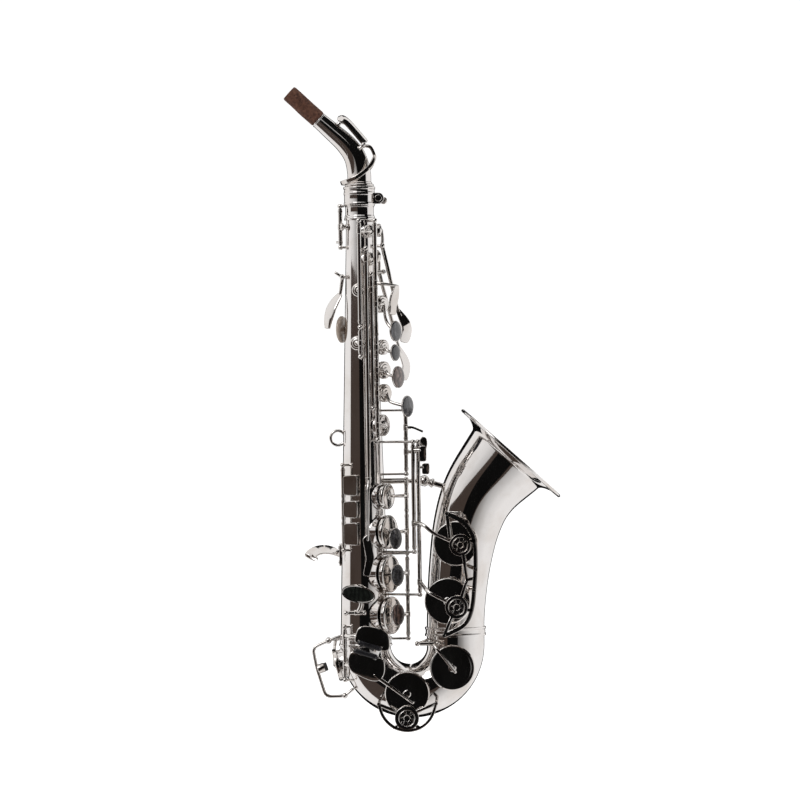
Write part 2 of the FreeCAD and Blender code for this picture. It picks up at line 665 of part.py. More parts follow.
def c_roller():
    return roller(C_ROLLER_AT).rotate(V(ROD_T.x, ROD_T.y, 0), Z, -LOW_C_OPEN)


# Low E flat cup: hinge along X above the cup.
EB_HINGE = V(60.5, -21.0, -143.6)
EB_HINGE_HALF = 5.2


def low_eb_key():
    y = crown_y(LOW_EB)
    tube = Part.makeCylinder(TUBE_R, 2 * EB_HINGE_HALF, EB_HINGE - X * EB_HINGE_HALF, X)
    bore = Part.makeCylinder(BORE_R, 2 * EB_HINGE_HALF + 2, EB_HINGE - X * (EB_HINGE_HALF + 1), X)
    arm = rail([EB_HINGE + X * 3.6, V(66.8, y, -147.0), V(LOW_EB.x + 2.0, y, -163.5)], 1.2)
    return join([tube, arm, flat_cup_shell(LOW_EB)]).cut(bore)


# Low C sharp cup: hinge along Y above the cup, on the player's side of the bow.
CS_HINGE = V(-3.7, 8.4, -141.2)
CS_HINGE_HALF = 4.0


def low_c_sharp_key():
    at = LOW_CSHARP_SEAT + LOW_CSHARP_OUT * PAD_GAP
    crown = at + LOW_CSHARP_OUT * (CUP_H + 0.6)
    tube = Part.makeCylinder(TUBE_R, 2 * CS_HINGE_HALF, CS_HINGE - Y * CS_HINGE_HALF, Y)
    bore = Part.makeCylinder(BORE_R, 2 * CS_HINGE_HALF + 2, CS_HINGE - Y * (CS_HINGE_HALF + 1), Y)
    arm = rail([CS_HINGE, V(crown.x - 0.2, 4.5, -147.0), crown], 1.15)
    return join([tube, arm, cup_shell(at, LOW_CSHARP_OUT, LOW_CSHARP_R)]).cut(bore)


# ---- little-finger table of the left hand --------------------------------------------------------
TABLE_G_TUBE = (-2.8, 17.0)
TABLE_CS_TUBE = (-24.0, -3.1)


def g_sharp_touch():
    corners = [(48.6, 7.6), (52.4, 7.8), (59.6, 4.2), (59.2, 2.8), (52.0, 5.6), (48.6, 5.8)]
    leaf = plate([V(x, -9.6, z) for x, z in corners], V(0, 6.4, 0))
    link = bar(V(ROD_K.x, ROD_K.y, 6.7), V(50.6, -6.4, 6.7), 1.1)
    pieces = [leaf, link, hinge_tube(ROD_K, *TABLE_G_TUBE)]
    return join(pieces).cut(hinge_bore(ROD_K, *TABLE_G_TUBE))


def c_sharp_touch():
    corners = [(53.0, -9.4), (58.6, 0.6), (62.0, -0.6), (62.6, -5.4), (60.8, -12.0), (54.0, -11.6)]
    leaf = plate([V(x, -6.0, z) for x, z in corners], V(0, 1.8, 0))
    link = bar(V(ROD_K.x, ROD_K.y, -10.4), V(54.6, -5.0, -10.4), 1.1)
    pieces = [leaf, link, hinge_tube(ROD_K, *TABLE_CS_TUBE)]
    return join(pieces).cut(hinge_bore(ROD_K, *TABLE_CS_TUBE))


# ---- F sharp trill: hinge along X, oval touch above it -------------------------------------------
TRILL_HINGE = V(10.5, -21.2, -121.6)
TRILL_HALF = 4.6
TRILL_AT = V(13.0, -26.6, -108.4)


def trill_key():
    tilt = math.radians(-12.0)
    along = V(math.cos(tilt), 0, math.sin(tilt))
    across = V(-math.sin(tilt), 0, math.cos(tilt))
    rim = [TRILL_AT + along * (12.0 * math.cos(a)) + across * (6.2 * math.sin(a))
           for a in [math.radians(30 * k) for k in range(12)]]
    leaf = soft_plate(rim, V(0, 1.8, 0))
    tube = Part.makeCylinder(TUBE_R, 2 * TRILL_HALF, TRILL_HINGE - X * TRILL_HALF, X)
    bore = Part.makeCylinder(BORE_R, 2 * TRILL_HALF + 2, TRILL_HINGE - X * (TRILL_HALF + 1), X)
    stem = rail([TRILL_HINGE + X * 1.6, V(15.0, -25.0, -116.6), V(14.6, -25.4, -111.0)], 1.5)
    return join([tube, stem, leaf]).cut(bore)


# ---- octave mechanism ----------------------------------------------------------------------------
PIP_TUBE = (135.0, 160.2)
LEVER_HINGE = V(4.6, 0.0, 112.6)
LEVER_HALF = 4.2


def octave_pip_key():
    out = radial(OCTAVE_ANGLE)
    at = around(OCTAVE_ANGLE, body_r(OCTAVE_Z) + OCTAVE_PIP_H + 0.15, OCTAVE_Z)
    cup = place(turned(((0, 0), (2.6, 0), (2.6, 1.8), (0, 2.2))), at, out)
    arm = bar(V(ROD_O.x, ROD_O.y, OCTAVE_Z), at + out * 1.2, 1.2, 0.9)
    tail = rail([V(ROD_O.x, ROD_O.y, 137.0), V(ROD_O.x - 2.6, ROD_O.y + 3.2, 137.0)], 0.9)
    pieces = [cup, arm, tail, hinge_tube(ROD_O, *PIP_TUBE)]
    return join(pieces).cut(hinge_bore(ROD_O, *PIP_TUBE))


def octave_thumb_lever():
    """Hooked thumb lever that curls round the thumb rest."""
    tube = Part.makeCylinder(TUBE_R, 2 * LEVER_HALF, LEVER_HINGE - Y * LEVER_HALF, Y)
    bore = Part.makeCylinder(BORE_R, 2 * LEVER_HALF + 2, LEVER_HINGE - Y * (LEVER_HALF + 1), Y)
    stem = rail([LEVER_HINGE, V(3.8, 0, 106.0), V(2.4, 0, 100.0)], 1.3)
    outer = Part.Arc(V(3.4, 0, 101.4), V(-4.6, 0, 91.6), V(-7.3, 0, 77.0)).toShape()
    inner = Part.Arc(V(-5.2, 0, 75.6), V(-1.8, 0, 88.6), V(3.4, 0, 98.0)).toShape()
    ends = [Part.makeLine(V(-7.3, 0, 77.0), V(-5.2, 0, 75.6)),
            Part.makeLine(V(3.4, 0, 98.0), V(3.4, 0, 101.4))]
    leaf = Part.Face(Part.Wire([outer, ends[0], inner, ends[1]]))
    leaf.translate(V(0, -3.6, 0))
    push = rail([LEVER_HINGE, V(-0.4, 0, 115.8)], 1.0)
    return join([tube, stem, leaf.extrude(V(0, 7.2, 0)), push]).cut(bore)


# ---- neck ----------------------------------------------------------------------------------------
NECK_OUT = V(NECK_DX, 0, NECK_DZ)
CORK_END = V(NECK_PATH[5][0], 0, NECK_PATH[5][1])


def neck_stations():
    points = [V(x, 0, z) for x, z, r in NECK_PATH]
    radii = [r for x, z, r in NECK_PATH]
    stations = [(points[0], Z, radii[0])]
    for i in range(1, len(points) - 1):
        stations.append((points[i], points[i + 1] - points[i - 1], radii[i]))
    stations.append((points[-1], NECK_OUT, radii[-1]))
    return stations


def neck_solid(inset):
    """Solid of the neck's tube, tenon and cork seat, shrunk by an inset."""
    foot_x, foot_z, foot_r = NECK_PATH[0]
    bend = loft(neck_stations(), inset)
    tenon = Part.makeCylinder(foot_r - inset, TENON_LENGTH, V(foot_x, 0, foot_z - TENON_LENGTH), Z)
    seat = Part.makeCylinder(CORK_SEAT_R - inset, CORK_LENGTH, CORK_END, NECK_OUT)
    return bend.fuse([tenon, seat])


def neck_tube():
    """Curved neck with its tenon below, the collar above it and the cork's seat at the end."""
    stop = Part.makeCylinder(NECK_STOP_R, 0.8, CORK_END - NECK_OUT * 0.8, NECK_OUT)
    flange = Part.makeCylinder(NECK_COLLAR_R, 1.6, V(AXIS_X, 0, RECEIVER_TOP + 0.3), Z)
    at, out = neck_pip()
    pip = Part.makeCylinder(PIP_R, 4.0, at - out * 1.2, out)
    pip_bore = Part.makeCylinder(PIP_BORE_R, 8.0, at - out * 4.0, out)
    return neck_solid(0.0).fuse([stop, flange, pip]).cut(neck_solid(WALL)).cut(pip_bore)


def neck_cork():
    return collar(CORK_END + NECK_OUT * 0.3, NECK_OUT, CORK_R, CORK_SEAT_R, CORK_LENGTH - 0.3)


def neck_pip():
    """Foot and direction of the octave pip on the neck's crown."""
    before, station, after = NECK_PATH[3:6]
    along = V(after[0] - before[0], 0, after[1] - before[1]).normalize()
    out = V(along.z, 0, -along.x)
    return V(station[0], 0, station[1]) + out * station[2], out


SADDLE = V(20.6, 0, 204.6)
SADDLE_HALF = 3.6


def neck_saddle():
    """The pair of little posts on the neck that carry the octave key."""
    pieces = []
    for side in (-1, 1):
        head = SADDLE + Y * side * (SADDLE_HALF + 1.7)
        foot = V(14.6, side * 3.6, 199.0)
        post = bar(foot, head, 1.2).fuse(ball(head, BALL_R))
        pieces.append(post)
    pin = Part.makeCylinder(ROD_R, 2 * SADDLE_HALF + 3.4, SADDLE - Y * (SADDLE_HALF + 1.7), Y)
    return pieces, pin


def neck_octave_key():
    """Lever over the neck's crown with a ring that circles the tenon."""
    at, out = neck_pip()
    seat = at + out * 2.95
    cup = place(turned(((0, 0), (2.7, 0), (2.7, 2.0), (0, 2.4))), seat, out)
    crest = seat + out * 1.6
    tube = Part.makeCylinder(TUBE_R, 2 * SADDLE_HALF, SADDLE - Y * SADDLE_HALF, Y)
    bore = Part.makeCylinder(BORE_R, 2 * SADDLE_HALF + 2, SADDLE - Y * (SADDLE_HALF + 1), Y)
    lever_top = [V(crest.x, -2.0, crest.z + 1.2), V(SADDLE.x + 1.6, -2.0, SADDLE.z + 2.2),
                 V(SADDLE.x + 0.6, -2.0, SADDLE.z + 0.4), V(crest.x, -2.0, crest.z - 0.4)]
    leaf = plate(lever_top, V(0, 4.0, 0))
    loop_at = V(17.6, 0, 180.6)
    tilt = V(-0.2, 0, 0.98)
    loop = ring(loop_at, tilt, 13.2, 0.9)
    side = V(tilt.z, 0, -tilt.x)
    right = loop_at + side * 13.2
    riser = rail([SADDLE + V(1.0, 0, -0.6), V(27.6, 0, 203.0), V(31.6, 0, 192.0), right], 1.0)
    return join([cup, leaf, tube, riser, loop]).cut(bore)


def neck_receiver():
    """Socket on top of the body with a split clamp and two lugs."""
    outer = turned(((10.0, 0), (RECEIVER_R - 0.6, 0), (RECEIVER_R - 0.6, 3.0), (RECEIVER_R - 1.2, 3.6),
                    (RECEIVER_R - 1.2, 10.0), (RECEIVER_R, 10.6), (RECEIVER_R, 23.6), (10.0, 23.6)))
    outer = place(outer, V(AXIS_X, 0, RECEIVER_BOTTOM), Z)
    sleeve = collar(V(AXIS_X, 0, RECEIVER_BOTTOM), Z, 10.4, 9.62, 2.2)
    lining = collar(V(AXIS_X, 0, RECEIVER_BOTTOM + 2.2), Z, 10.4, 8.55, 21.4)
    lugs = Part.makeBox(7.0, 6.6, 7.6, V(AXIS_X + 9.6, -3.3, 163.6))
    socket = Part.makeCylinder(8.55, 21.4, V(AXIS_X, 0, RECEIVER_BOTTOM + 2.2), Z)
    slot = Part.makeBox(12.0, 1.0, 15.0, V(AXIS_X + 6.0, -0.5, 161.6))
    hole = Part.makeCylinder(SCREW_R + 0.05, 30.0, V(SCREW_AT.x, -15.0, SCREW_AT.z), Y)
    body = join([outer, sleeve, lining, lugs]).cut(socket)
    return body.cut(slot).cut(hole)


SCREW_R = 1.5
SCREW_AT = V(30.6, 0, 167.4)


def neck_screw():
    """Thumbscrew through the lugs, with an oval wing."""
    shank = Part.makeCylinder(SCREW_R, 14.5, V(SCREW_AT.x, -5.2, SCREW_AT.z), Y)
    head = Part.makeCylinder(2.4, 1.6, V(SCREW_AT.x, -5.4, SCREW_AT.z), Y)
    stop = Part.makeCylinder(2.4, 1.4, V(SCREW_AT.x, 3.6, SCREW_AT.z), Y)
    wing = [V(SCREW_AT.x + 5.4 * math.cos(a), 8.6, SCREW_AT.z + 3.6 * math.sin(a))
            for a in [math.radians(30 * k) for k in range(12)]]
    return join([shank, head, stop, soft_plate(wing, V(0, 1.6, 0))])


# ---- fittings fixed to the body ------------------------------------------------------------------
def stem_foot(angle, z):
    return around(angle, body_r(z) - 0.3, z)


def hinge_angle(hinge):
    return math.degrees(math.atan2(hinge.y, hinge.x - AXIS_X))


POSTS = [(ROD_A, 151.2), (ROD_A, 77.0), (ROD_A, 56.6), (ROD_B, 131.8), (ROD_B, -34.2), (ROD_C, 114.0),
         (ROD_C, 20.5), (ROD_D, 151.2), (ROD_D, -1.5), (ROD_L, -29.5), (ROD_L, -81.5), (ROD_L, -141.0),
         (ROD_M, -3.2), (ROD_M, -79.8), (ROD_N, -3.2), (ROD_N, -109.7), (ROD_K, 18.8), (ROD_K, -25.8),
         (ROD_S, -18.8), (ROD_S, -78.2), (ROD_T, -131.4), (ROD_T, -168.4), (ROD_O, 162.0), (ROD_O, 133.2)]
# posts of the rods between the body and the bell lean on the body at these angles
LONG_FEET = {ROD_L: 8.0, ROD_M: -22.0, ROD_N: -12.0, ROD_K: -2.0}


def vertical_posts():
    """Ball-headed posts of the rods that run along the body, trimmed to the tube and bored for the rods."""
    posts = []
    for hinge, z in POSTS:
        head = V(hinge.x, hinge.y, z)
        angle = LONG_FEET.get(hinge, hinge_angle(hinge))
        foot = stem_foot(angle, z) if z < BODY_TOP else around(angle, RECEIVER_R - 1.8, z)
        if hinge is ROD_T and z < BODY_BOTTOM:
            foot = V(9.0, -12.5, z - 0.4)
        post = bar(foot, head, STEM_R).fuse(ball(head, BALL_R))
        post = post.cut(Part.makeCylinder(ROD_R + 0.02, 20, V(hinge.x, hinge.y, z - 10), Z))
        posts.append(post)
    return posts


def cross_posts():
    """Posts of the short hinges that lie across the body."""
    posts = []
    for key in PALM_KEYS:
        side = tangent(key.angle)
        for sign in (-1, 1):
            head = palm_hinge_point(key) + side * sign * (PALM_TUBE / 2 + 1.9)
            foot = around(key.angle, body_r(key.hinge_z) - 1.4, key.hinge_z) + side * sign * 3.6
            posts.append(drilled_post(foot, head, side))
    for sign in (-1, 1):
        head = LEVER_HINGE + Y * sign * (LEVER_HALF + 1.9)
        posts.append(drilled_post(V(9.4, sign * 5.0, LEVER_HINGE.z), head, Y))
        head = CS_HINGE + Y * sign * (CS_HINGE_HALF + 1.9)
        foot = V(6.4 if sign > 0 else 1.0, head.y * 0.9, CS_HINGE.z)
        posts.append(drilled_post(foot, head, Y))
        head = TRILL_HINGE + X * sign * (TRILL_HALF + 1.9)
        posts.append(drilled_post(V(head.x * 0.85 + 2.4, -15.6, TRILL_HINGE.z), head, X))
    for sign in (-1, 1):
        head = EB_HINGE + X * sign * (EB_HINGE_HALF + 1.9)
        foot = V(66.4, -13.0, -141.6) if sign > 0 else V(62.2, -7.6, -141.0)
        posts.append(drilled_post(foot, head, X))
    return posts


def drilled_post(foot, head, axis):
    post = bar(foot, head, STEM_R).fuse(ball(head, BALL_R))
    return post.cut(Part.makeCylinder(ROD_R + 0.02, 12, head - axis * 6, axis))


def key_posts(trim):
    """All posts, with their feet trimmed to the tubes they are soldered to."""
    return [largest(post.cut(trim)) for post in vertical_posts() + cross_posts()]


def largest(shape):
    return max(shape.Solids, key=lambda s: s.Volume)


ROD_SPANS = ((ROD_A, 55.2, 152.4), (ROD_B, -35.6, 133.2), (ROD_C, 19.0, 115.4), (ROD_D, -3.0, 152.4),
             (ROD_L, -142.4, -28.0), (ROD_M, -81.2, -1.8), (ROD_N, -111.2, -1.8), (ROD_K, -27.2, 20.2),
             (ROD_S, -79.6, -17.4), (ROD_T, -169.8, -130.0), (ROD_O, 131.8, 163.4))


def key_rods():
    rods = [Part.makeCylinder(ROD_R, z1 - z0, V(h.x, h.y, z0), Z) for h, z0, z1 in ROD_SPANS]
    for key in PALM_KEYS:
        side = tangent(key.angle)
        half = PALM_TUBE / 2 + 2.9
        rods.append(Part.makeCylinder(ROD_R, 2 * half, palm_hinge_point(key) - side * half, side))
    for at, half, axis in ((LEVER_HINGE, LEVER_HALF + 2.9, Y), (CS_HINGE, CS_HINGE_HALF + 2.9, Y),
                           (TRILL_HINGE, TRILL_HALF + 2.9, X), (EB_HINGE, EB_HINGE_HALF + 2.9, X)):
        rods.append(Part.makeCylinder(ROD_R, 2 * half, at - axis * half, axis))
    return rods


def strap_ring(trim):
    """Ring for the neck strap on its soldered foot; its hole is centred on the origin."""
    loop = ring(V(0, 0, 0), Y, 5.1, 1.0)
    foot = Part.makeBox(2.2, 3.0, 14.0, V(3.2, -1.5, -7.0))
    return largest(join([loop, foot]).cut(Part.makeCylinder(4.2, 12.0, V(0, -6.0, 0), Y)).cut(trim))


def thumb_hook(trim):
    """Hook under the right thumb: a foot plate and a curved arm that turns down at its end."""
    foot = Part.makeBox(3.0, 6.0, 16.0, V(-1.0, -3.0, -90.0)).translate(V(0, 4.0, 0))
    path = [V(0.2, 4, -80.6), V(-6.0, 4, -77.6), V(-13.0, 4, -77.2), V(-19.0, 4, -79.6), V(-21.4, 4, -84.0)]
    back = [p + V(1.4, 0, -1.9) for p in path[::-1]]
    outline = path + back
    arm = plate([V(p.x, -1.6, p.z) for p in outline], V(0, 11.2, 0))
    return largest(join([foot, arm]).cut(trim))


def thumb_rest(trim):
    angle = 160.0
    out = radial(angle)
    at = around(angle, body_r(76.0) + 1.6, 76.0)
    disc = place(turned(((0, 0), (8.6, 0), (9.4, 0.8), (9.4, 1.8), (8.4, 2.6), (0, 3.4))), at, out)
    stem = bar(around(angle, body_r(76.0) - 0.4, 76.0), at + out * 0.4, 4.0)
    return largest(join([disc, stem]).cut(trim))


BRACE_Y = 10.0


def bell_brace(body, bell):
    """Turned stay between body and bell with a ball in the middle."""
    left = V(25.0, BRACE_Y, -31.5)
    middle = V(60.0, BRACE_Y, -31.0)
    right = V(84.0, BRACE_Y, -38.0)
    pieces = [bar(left, middle, 1.6), ball(middle, 4.0), bar(middle, right, 1.8),
              Part.makeCylinder(3.2, 2.0, middle + (right - middle) * 0.24, right - middle)]
    return largest(join(pieces).cut(body).cut(bell))


def guard_ring(x, z, y, r_out, r_in, thick):
    return collar(V(x, y, z), Y, r_out, r_in, thick)


GUARD_T = 1.3
BELL_GUARD_Y = -36.0


def bell_key_guard(bell):
    """Plate guard over the two bell cups: a closed frame, two bumper rings and their spokes."""
    y = BELL_GUARD_Y
    frame = [(75.0, -53.0), (88.0, -59.5), (94.6, -72.0), (94.6, -92.0), (92.0, -120.0), (87.0, -131.0),
             (72.0, -137.5)]
    pieces = [flat_strip([V(x, y, z) for x, z in frame], 1.6, GUARD_T)]
    for x, z, r_out, r_in in ((84.0, -75.0, 7.6, 5.4), (81.0, -118.0, 8.0, 5.6)):
        pieces.append(guard_ring(x, z, y, r_out, r_in, GUARD_T))
    spokes = (((77.0, -72.0), (75.0, -53.0)), ((90.6, -72.0), (94.6, -72.0)), ((86.0, -81.8), (88.5, -99.0)),
              ((84.4, -111.0), (88.5, -99.0)), ((88.5, -99.0), (94.2, -98.0)),
              ((88.4, -120.0), (92.0, -120.0)),
              ((77.6, -124.8), (72.0, -137.5)))
    for (ax, az), (bx, bz) in spokes:
        pieces.append(flat_strip([V(ax, y, az), V(bx, y, bz)], 1.2, GUARD_T))
    for fx, fz, foot_y in ((75.0, -53.0, -16.0), (94.6, -92.0, -16.0), (93.3, -106.0, -14.0),
                           (72.0, -137.5, -16.0)):
        lean = 0.0 if fx > 85 else 1.5
        pieces.append(bar(V(fx, y + 0.5, fz), V(fx + lean, foot_y, fz), 1.2))
    return largest(join(pieces).cut(bell))


def flat_strip(points, half_width, thick):
    """Flat strip of even width along points in a plane of constant y, with round corners."""
    pieces = []
    for a, b in zip(points, points[1:]):
        along = (b - a).normalize()
        side = V(-along.z, 0, along.x) * half_width
        pieces.append(plate([a + side, b + side, b - side, a - side], V(0, thick, 0)))
    pieces += [Part.makeCylinder(half_width, thick, p, Y) for p in points]
    return join(pieces)


C_GUARD_Y = -33.2


def low_c_guard(bow):
    y = C_GUARD_Y
    frame = [(26.0, -184.5), (29.0, -194.0), (36.0, -201.0), (45.5, -203.6), (55.0, -201.6), (62.5, -195.0),
             (66.0, -184.5)]
    pieces = [flat_strip([V(x, y, z) for x, z in frame], 1.1, GUARD_T)]
    pieces.append(guard_ring(45.5, -194.6, y, 8.4, 5.6, GUARD_T))
    for (ax, az), (bx, bz) in (((26.0, -184.5), (38.6, -190.0)), ((66.0, -184.5), (52.4, -190.0)),
                               ((39.0, -200.0), (36.0, -201.0)), ((52.0, -200.0), (55.0, -201.6))):
        pieces.append(flat_strip([V(ax, y, az), V(bx, y, bz)], 1.1, GUARD_T))
    for fx, fz, to in ((26.0, -184.5, V(27.6, -11.0, -181.0)), (66.0, -184.5, V(67.0, -12.0, -180.4))):
        pieces.append(rail([V(fx, y + 0.6, fz), to], 1.1))
    return join(pieces).cut(bow)


C_SHARP_GUARD_Y = -3.0


def low_c_sharp_guard(trim):
    """Wire frame on the player's side that limits the low C sharp cup."""
    y = C_SHARP_GUARD_Y
    ring_path = [V(0.6, y, -138.4), V(-8.5, y, -141.5), V(-19.6, y, -146.4), V(-17.2, y, -160.0),
                 V(-11.0, y, -180.6), V(2.0, y, -180.6), V(9.0, y, -175.0)]
    frame = rail(ring_path, 1.15)
    stop = bar(V(-16.6, y, -161.6), V(-9.6, y, -159.4), 3.3)
    balls = [ball(V(-8.5, y, -141.5), 2.3), ball(V(2.4, y, -180.2), 2.0)]
    return largest(join([frame, stop] + balls).cut(trim))


# ---- everything, node by node --------------------------------------------------------------------
def build():
    """Return every node's shape by name."""
    nodes = {}
    body = body_tube()
    bow = bow_tube()
    bell = bell_tube()
    nodes["body_tube"] = body
    nodes["bow_tube"] = bow
    nodes["bell_tube"] = bell
    nodes["bell_rim"] = bell_rim(bell)
    nodes["bow_rings"] = Part.makeCompound(bow_rings())
    nodes["neck_receiver"] = neck_receiver()
    height = BODY_TOP - BODY_BOTTOM
    body_core = Part.makeCone(body_r(BODY_BOTTOM), body_r(BODY_TOP), height, V(AXIS_X, 0, BODY_BOTTOM), Z)
    bow_core = loft(bow_stations())
    bell_core = loft(bell_stations())
    socket_core = Part.makeCylinder(RECEIVER_R, 23.8, V(AXIS_X, 0, RECEIVER_BOTTOM), Z)
    tubes = body_core.fuse([bow_core, bell_core, socket_core] + bow_rings())
    nodes["key_posts"] = Part.makeCompound(key_posts(tubes))
    nodes["key_rods"] = Part.makeCompound(key_rods())
    nodes["strap_ring"] = strap_ring(body_core)
    nodes["thumb_hook"] = thumb_hook(body_core)
    nodes["thumb_rest"] = thumb_rest(body_core)
    nodes["bell_brace"] = bell_brace(body_core, bell_core)
    nodes["bell_key_guard"] = bell_key_guard(tubes)
    nodes["low_c_guard"] = low_c_guard(tubes)
    nodes["low_c_sharp_guard"] = low_c_sharp_guard(tubes)
    nodes["neck_tube"] = neck_tube()
    nodes["neck_cork"] = neck_cork()
    posts, pin = neck_saddle()
    solid_neck = neck_solid(0.0)
    nodes["neck_saddle"] = Part.makeCompound([largest(p.cut(solid_neck)).fuse(pin) if i == 0 else
                                              largest(p.cut(solid_neck)).cut(pin)
                                              for i, p in enumerate(posts)])
    nodes["neck_octave_key"] = neck_octave_key()
    nodes["neck_screw"] = neck_screw()
    nodes["octave_thumb_lever"] = octave_thumb_lever()
    nodes["octave_pip_key"] = octave_pip_key()
    for key in PALM_KEYS:
        nodes[key.name] = palm_key(key)
    nodes["front_f_key"] = front_f_key()
    for key in CUP_KEYS:
        nodes[key.name] = cup_key(key)
    for pearl in PEARLS:
        nodes[pearl.key.replace("_key", "_pearl")] = pearl_of(pearl)
    for touch in SIDE_TOUCHES:
        nodes[touch.name] = side_touch(touch)
    nodes["trill_key"] = trill_key()
    nodes["low_eb_key"] = low_eb_key()
    nodes["eb_touch_lever"] = eb_touch_lever()
    nodes["eb_roller"] = roller(EB_ROLLER_AT)
    nodes["low_c_key"] = low_c_key()
    nodes["c_roller"] = c_roller()
    nodes["low_c_sharp_key"] = low_c_sharp_key()
    nodes["c_sharp_touch"] = c_sharp_touch()
    nodes["g_sharp_touch"] = g_sharp_touch()
    nodes["low_b_key"] = low_b_key()
    nodes["low_bb_key"] = low_bb_key()
    return nodes


def main():
    os.makedirs("parts", exist_ok=True)
    for name, shape in build().items():
        export(name, shape)


main()
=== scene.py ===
"""Looks of a curved soprano saxophone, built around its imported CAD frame.

Every class below stands for one sub-assembly of the instrument.  Sizes are in millimetres in the row frame
(+Z up, the bell opens towards +X, the right-hand face looks to -Y).  A placed piece is in metres.
"""
from __future__ import annotations

import json
import logging
import math
import random
from dataclasses import dataclass
from enum import Enum

import bmesh
import bpy
from mathutils import Matrix, Vector
from mathutils.bvhtree import BVHTree

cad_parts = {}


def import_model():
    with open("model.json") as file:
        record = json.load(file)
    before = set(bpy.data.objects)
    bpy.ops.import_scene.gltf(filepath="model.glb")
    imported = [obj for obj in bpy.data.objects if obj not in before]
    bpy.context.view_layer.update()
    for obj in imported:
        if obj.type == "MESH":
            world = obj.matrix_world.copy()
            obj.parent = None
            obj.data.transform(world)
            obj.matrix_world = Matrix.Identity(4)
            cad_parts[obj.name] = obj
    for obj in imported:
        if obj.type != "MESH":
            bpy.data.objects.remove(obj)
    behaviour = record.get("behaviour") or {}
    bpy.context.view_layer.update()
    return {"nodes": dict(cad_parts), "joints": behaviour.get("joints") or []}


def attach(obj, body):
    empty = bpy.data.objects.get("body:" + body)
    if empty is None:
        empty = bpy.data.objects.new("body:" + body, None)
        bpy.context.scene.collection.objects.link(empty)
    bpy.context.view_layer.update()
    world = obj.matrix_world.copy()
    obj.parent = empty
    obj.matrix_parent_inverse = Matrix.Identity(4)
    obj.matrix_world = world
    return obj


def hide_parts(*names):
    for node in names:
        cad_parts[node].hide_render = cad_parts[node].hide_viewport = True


LOG = logging.getLogger("saxophone")
MM = 0.001
TURN = 2.0 * math.pi
X = Vector((1.0, 0.0, 0.0))
Y = Vector((0.0, 1.0, 0.0))
Z = Vector((0.0, 0.0, 1.0))
SHARP = math.radians(35.0)       # edges that turn more than this stay crisp
Colour = tuple[float, float, float]
Wire = bpy.types.NodeSocket


# ---- finishes ----
class NodeSheet:
    """A new material with short ways to lay its nodes."""

    def __init__(self, name: str) -> None:
        """Start a material that reads its patterns from the piece's own place in the row frame."""
        self.material = bpy.data.materials.new(name)
        self.material.use_nodes = True
        self.tree = self.material.node_tree
        self.shader = self.tree.nodes["Principled BSDF"]
        self.place = self.tree.nodes.new("ShaderNodeTexCoord").outputs["Object"]

    def new(self, kind: str, **inputs: object) -> bpy.types.Node:
        """Add a node and set or link its inputs by name; an underscore stands for a space."""
        node = self.tree.nodes.new("ShaderNode" + kind)
        for key, value in inputs.items():
            socket = node.inputs[key.replace("_", " ")]
            if isinstance(value, Wire):
                self.tree.links.new(value, socket)
            else:
                socket.default_value = value
        return node

    def stretched(self, scale: tuple[float, float, float]) -> Wire:
        """The piece's coordinates, stretched along each axis."""
        return self.new("Mapping", Vector=self.place, Scale=scale).outputs["Vector"]

    def noise(self, scale: float, detail: float = 3.0, rough: float = 0.55,
              at: Wire | None = None) -> Wire:
        """Cloudy noise from 0 to 1, with this many clouds in a metre."""
        node = self.new("TexNoise", Vector=at or self.place, Scale=scale, Detail=detail, Roughness=rough)
        return node.outputs["Fac"]

    def spots(self, scale: float) -> Wire:
        """Distance to the nearest of many scattered points."""
        return self.new("TexVoronoi", Vector=self.place, Scale=scale).outputs["Distance"]

    def spread(self, source: Wire, low: float, high: float, start: float = 0.3,
               end: float = 0.7) -> Wire:
        """Map a value from start..end to low..high."""
        node = self.new("MapRange", Value=source)
        node.inputs["From Min"].default_value = start
        node.inputs["From Max"].default_value = end
        node.inputs["To Min"].default_value = low
        node.inputs["To Max"].default_value = high
        return node.outputs["Result"]

    def shade(self, source: Wire, stops: list[tuple[float, Colour]]) -> Wire:
        """Colour a value by a ramp of (place, colour) stops."""
        ramp = self.new("ValToRGB", Fac=source)
        while len(ramp.color_ramp.elements) < len(stops):
            ramp.color_ramp.elements.new(0.5)
        for element, (place, colour) in zip(ramp.color_ramp.elements, stops):
            element.position = place
            element.color = (*colour, 1.0)
        return ramp.outputs["Color"]

    def relief(self, height: Wire, depth: float, under: Wire | None = None) -> Wire:
        """Bump of this depth in metres over an optional bump below it."""
        node = self.new("Bump", Height=height, Distance=depth, Strength=1.0)
        if under is not None:
            self.tree.links.new(under, node.inputs["Normal"])
        return node.outputs["Normal"]

    def wear(self, **links: Wire | float) -> bpy.types.Material:
        """Link or set the shader's sockets by name and hand over the material."""
        for key, value in links.items():
            socket = self.shader.inputs[key.replace("_", " ")]
            if isinstance(value, Wire):
                self.tree.links.new(value, socket)
            else:
                socket.default_value = value
        return self.material


class Finish:
    """A finish makes its material once and then hands it out."""

    made: dict[str, bpy.types.Material] = {}

    def material(self) -> bpy.types.Material:
        """The finish's material, made on the first call."""
        if self.name not in Finish.made:
            Finish.made[self.name] = self.mix()
        return Finish.made[self.name]


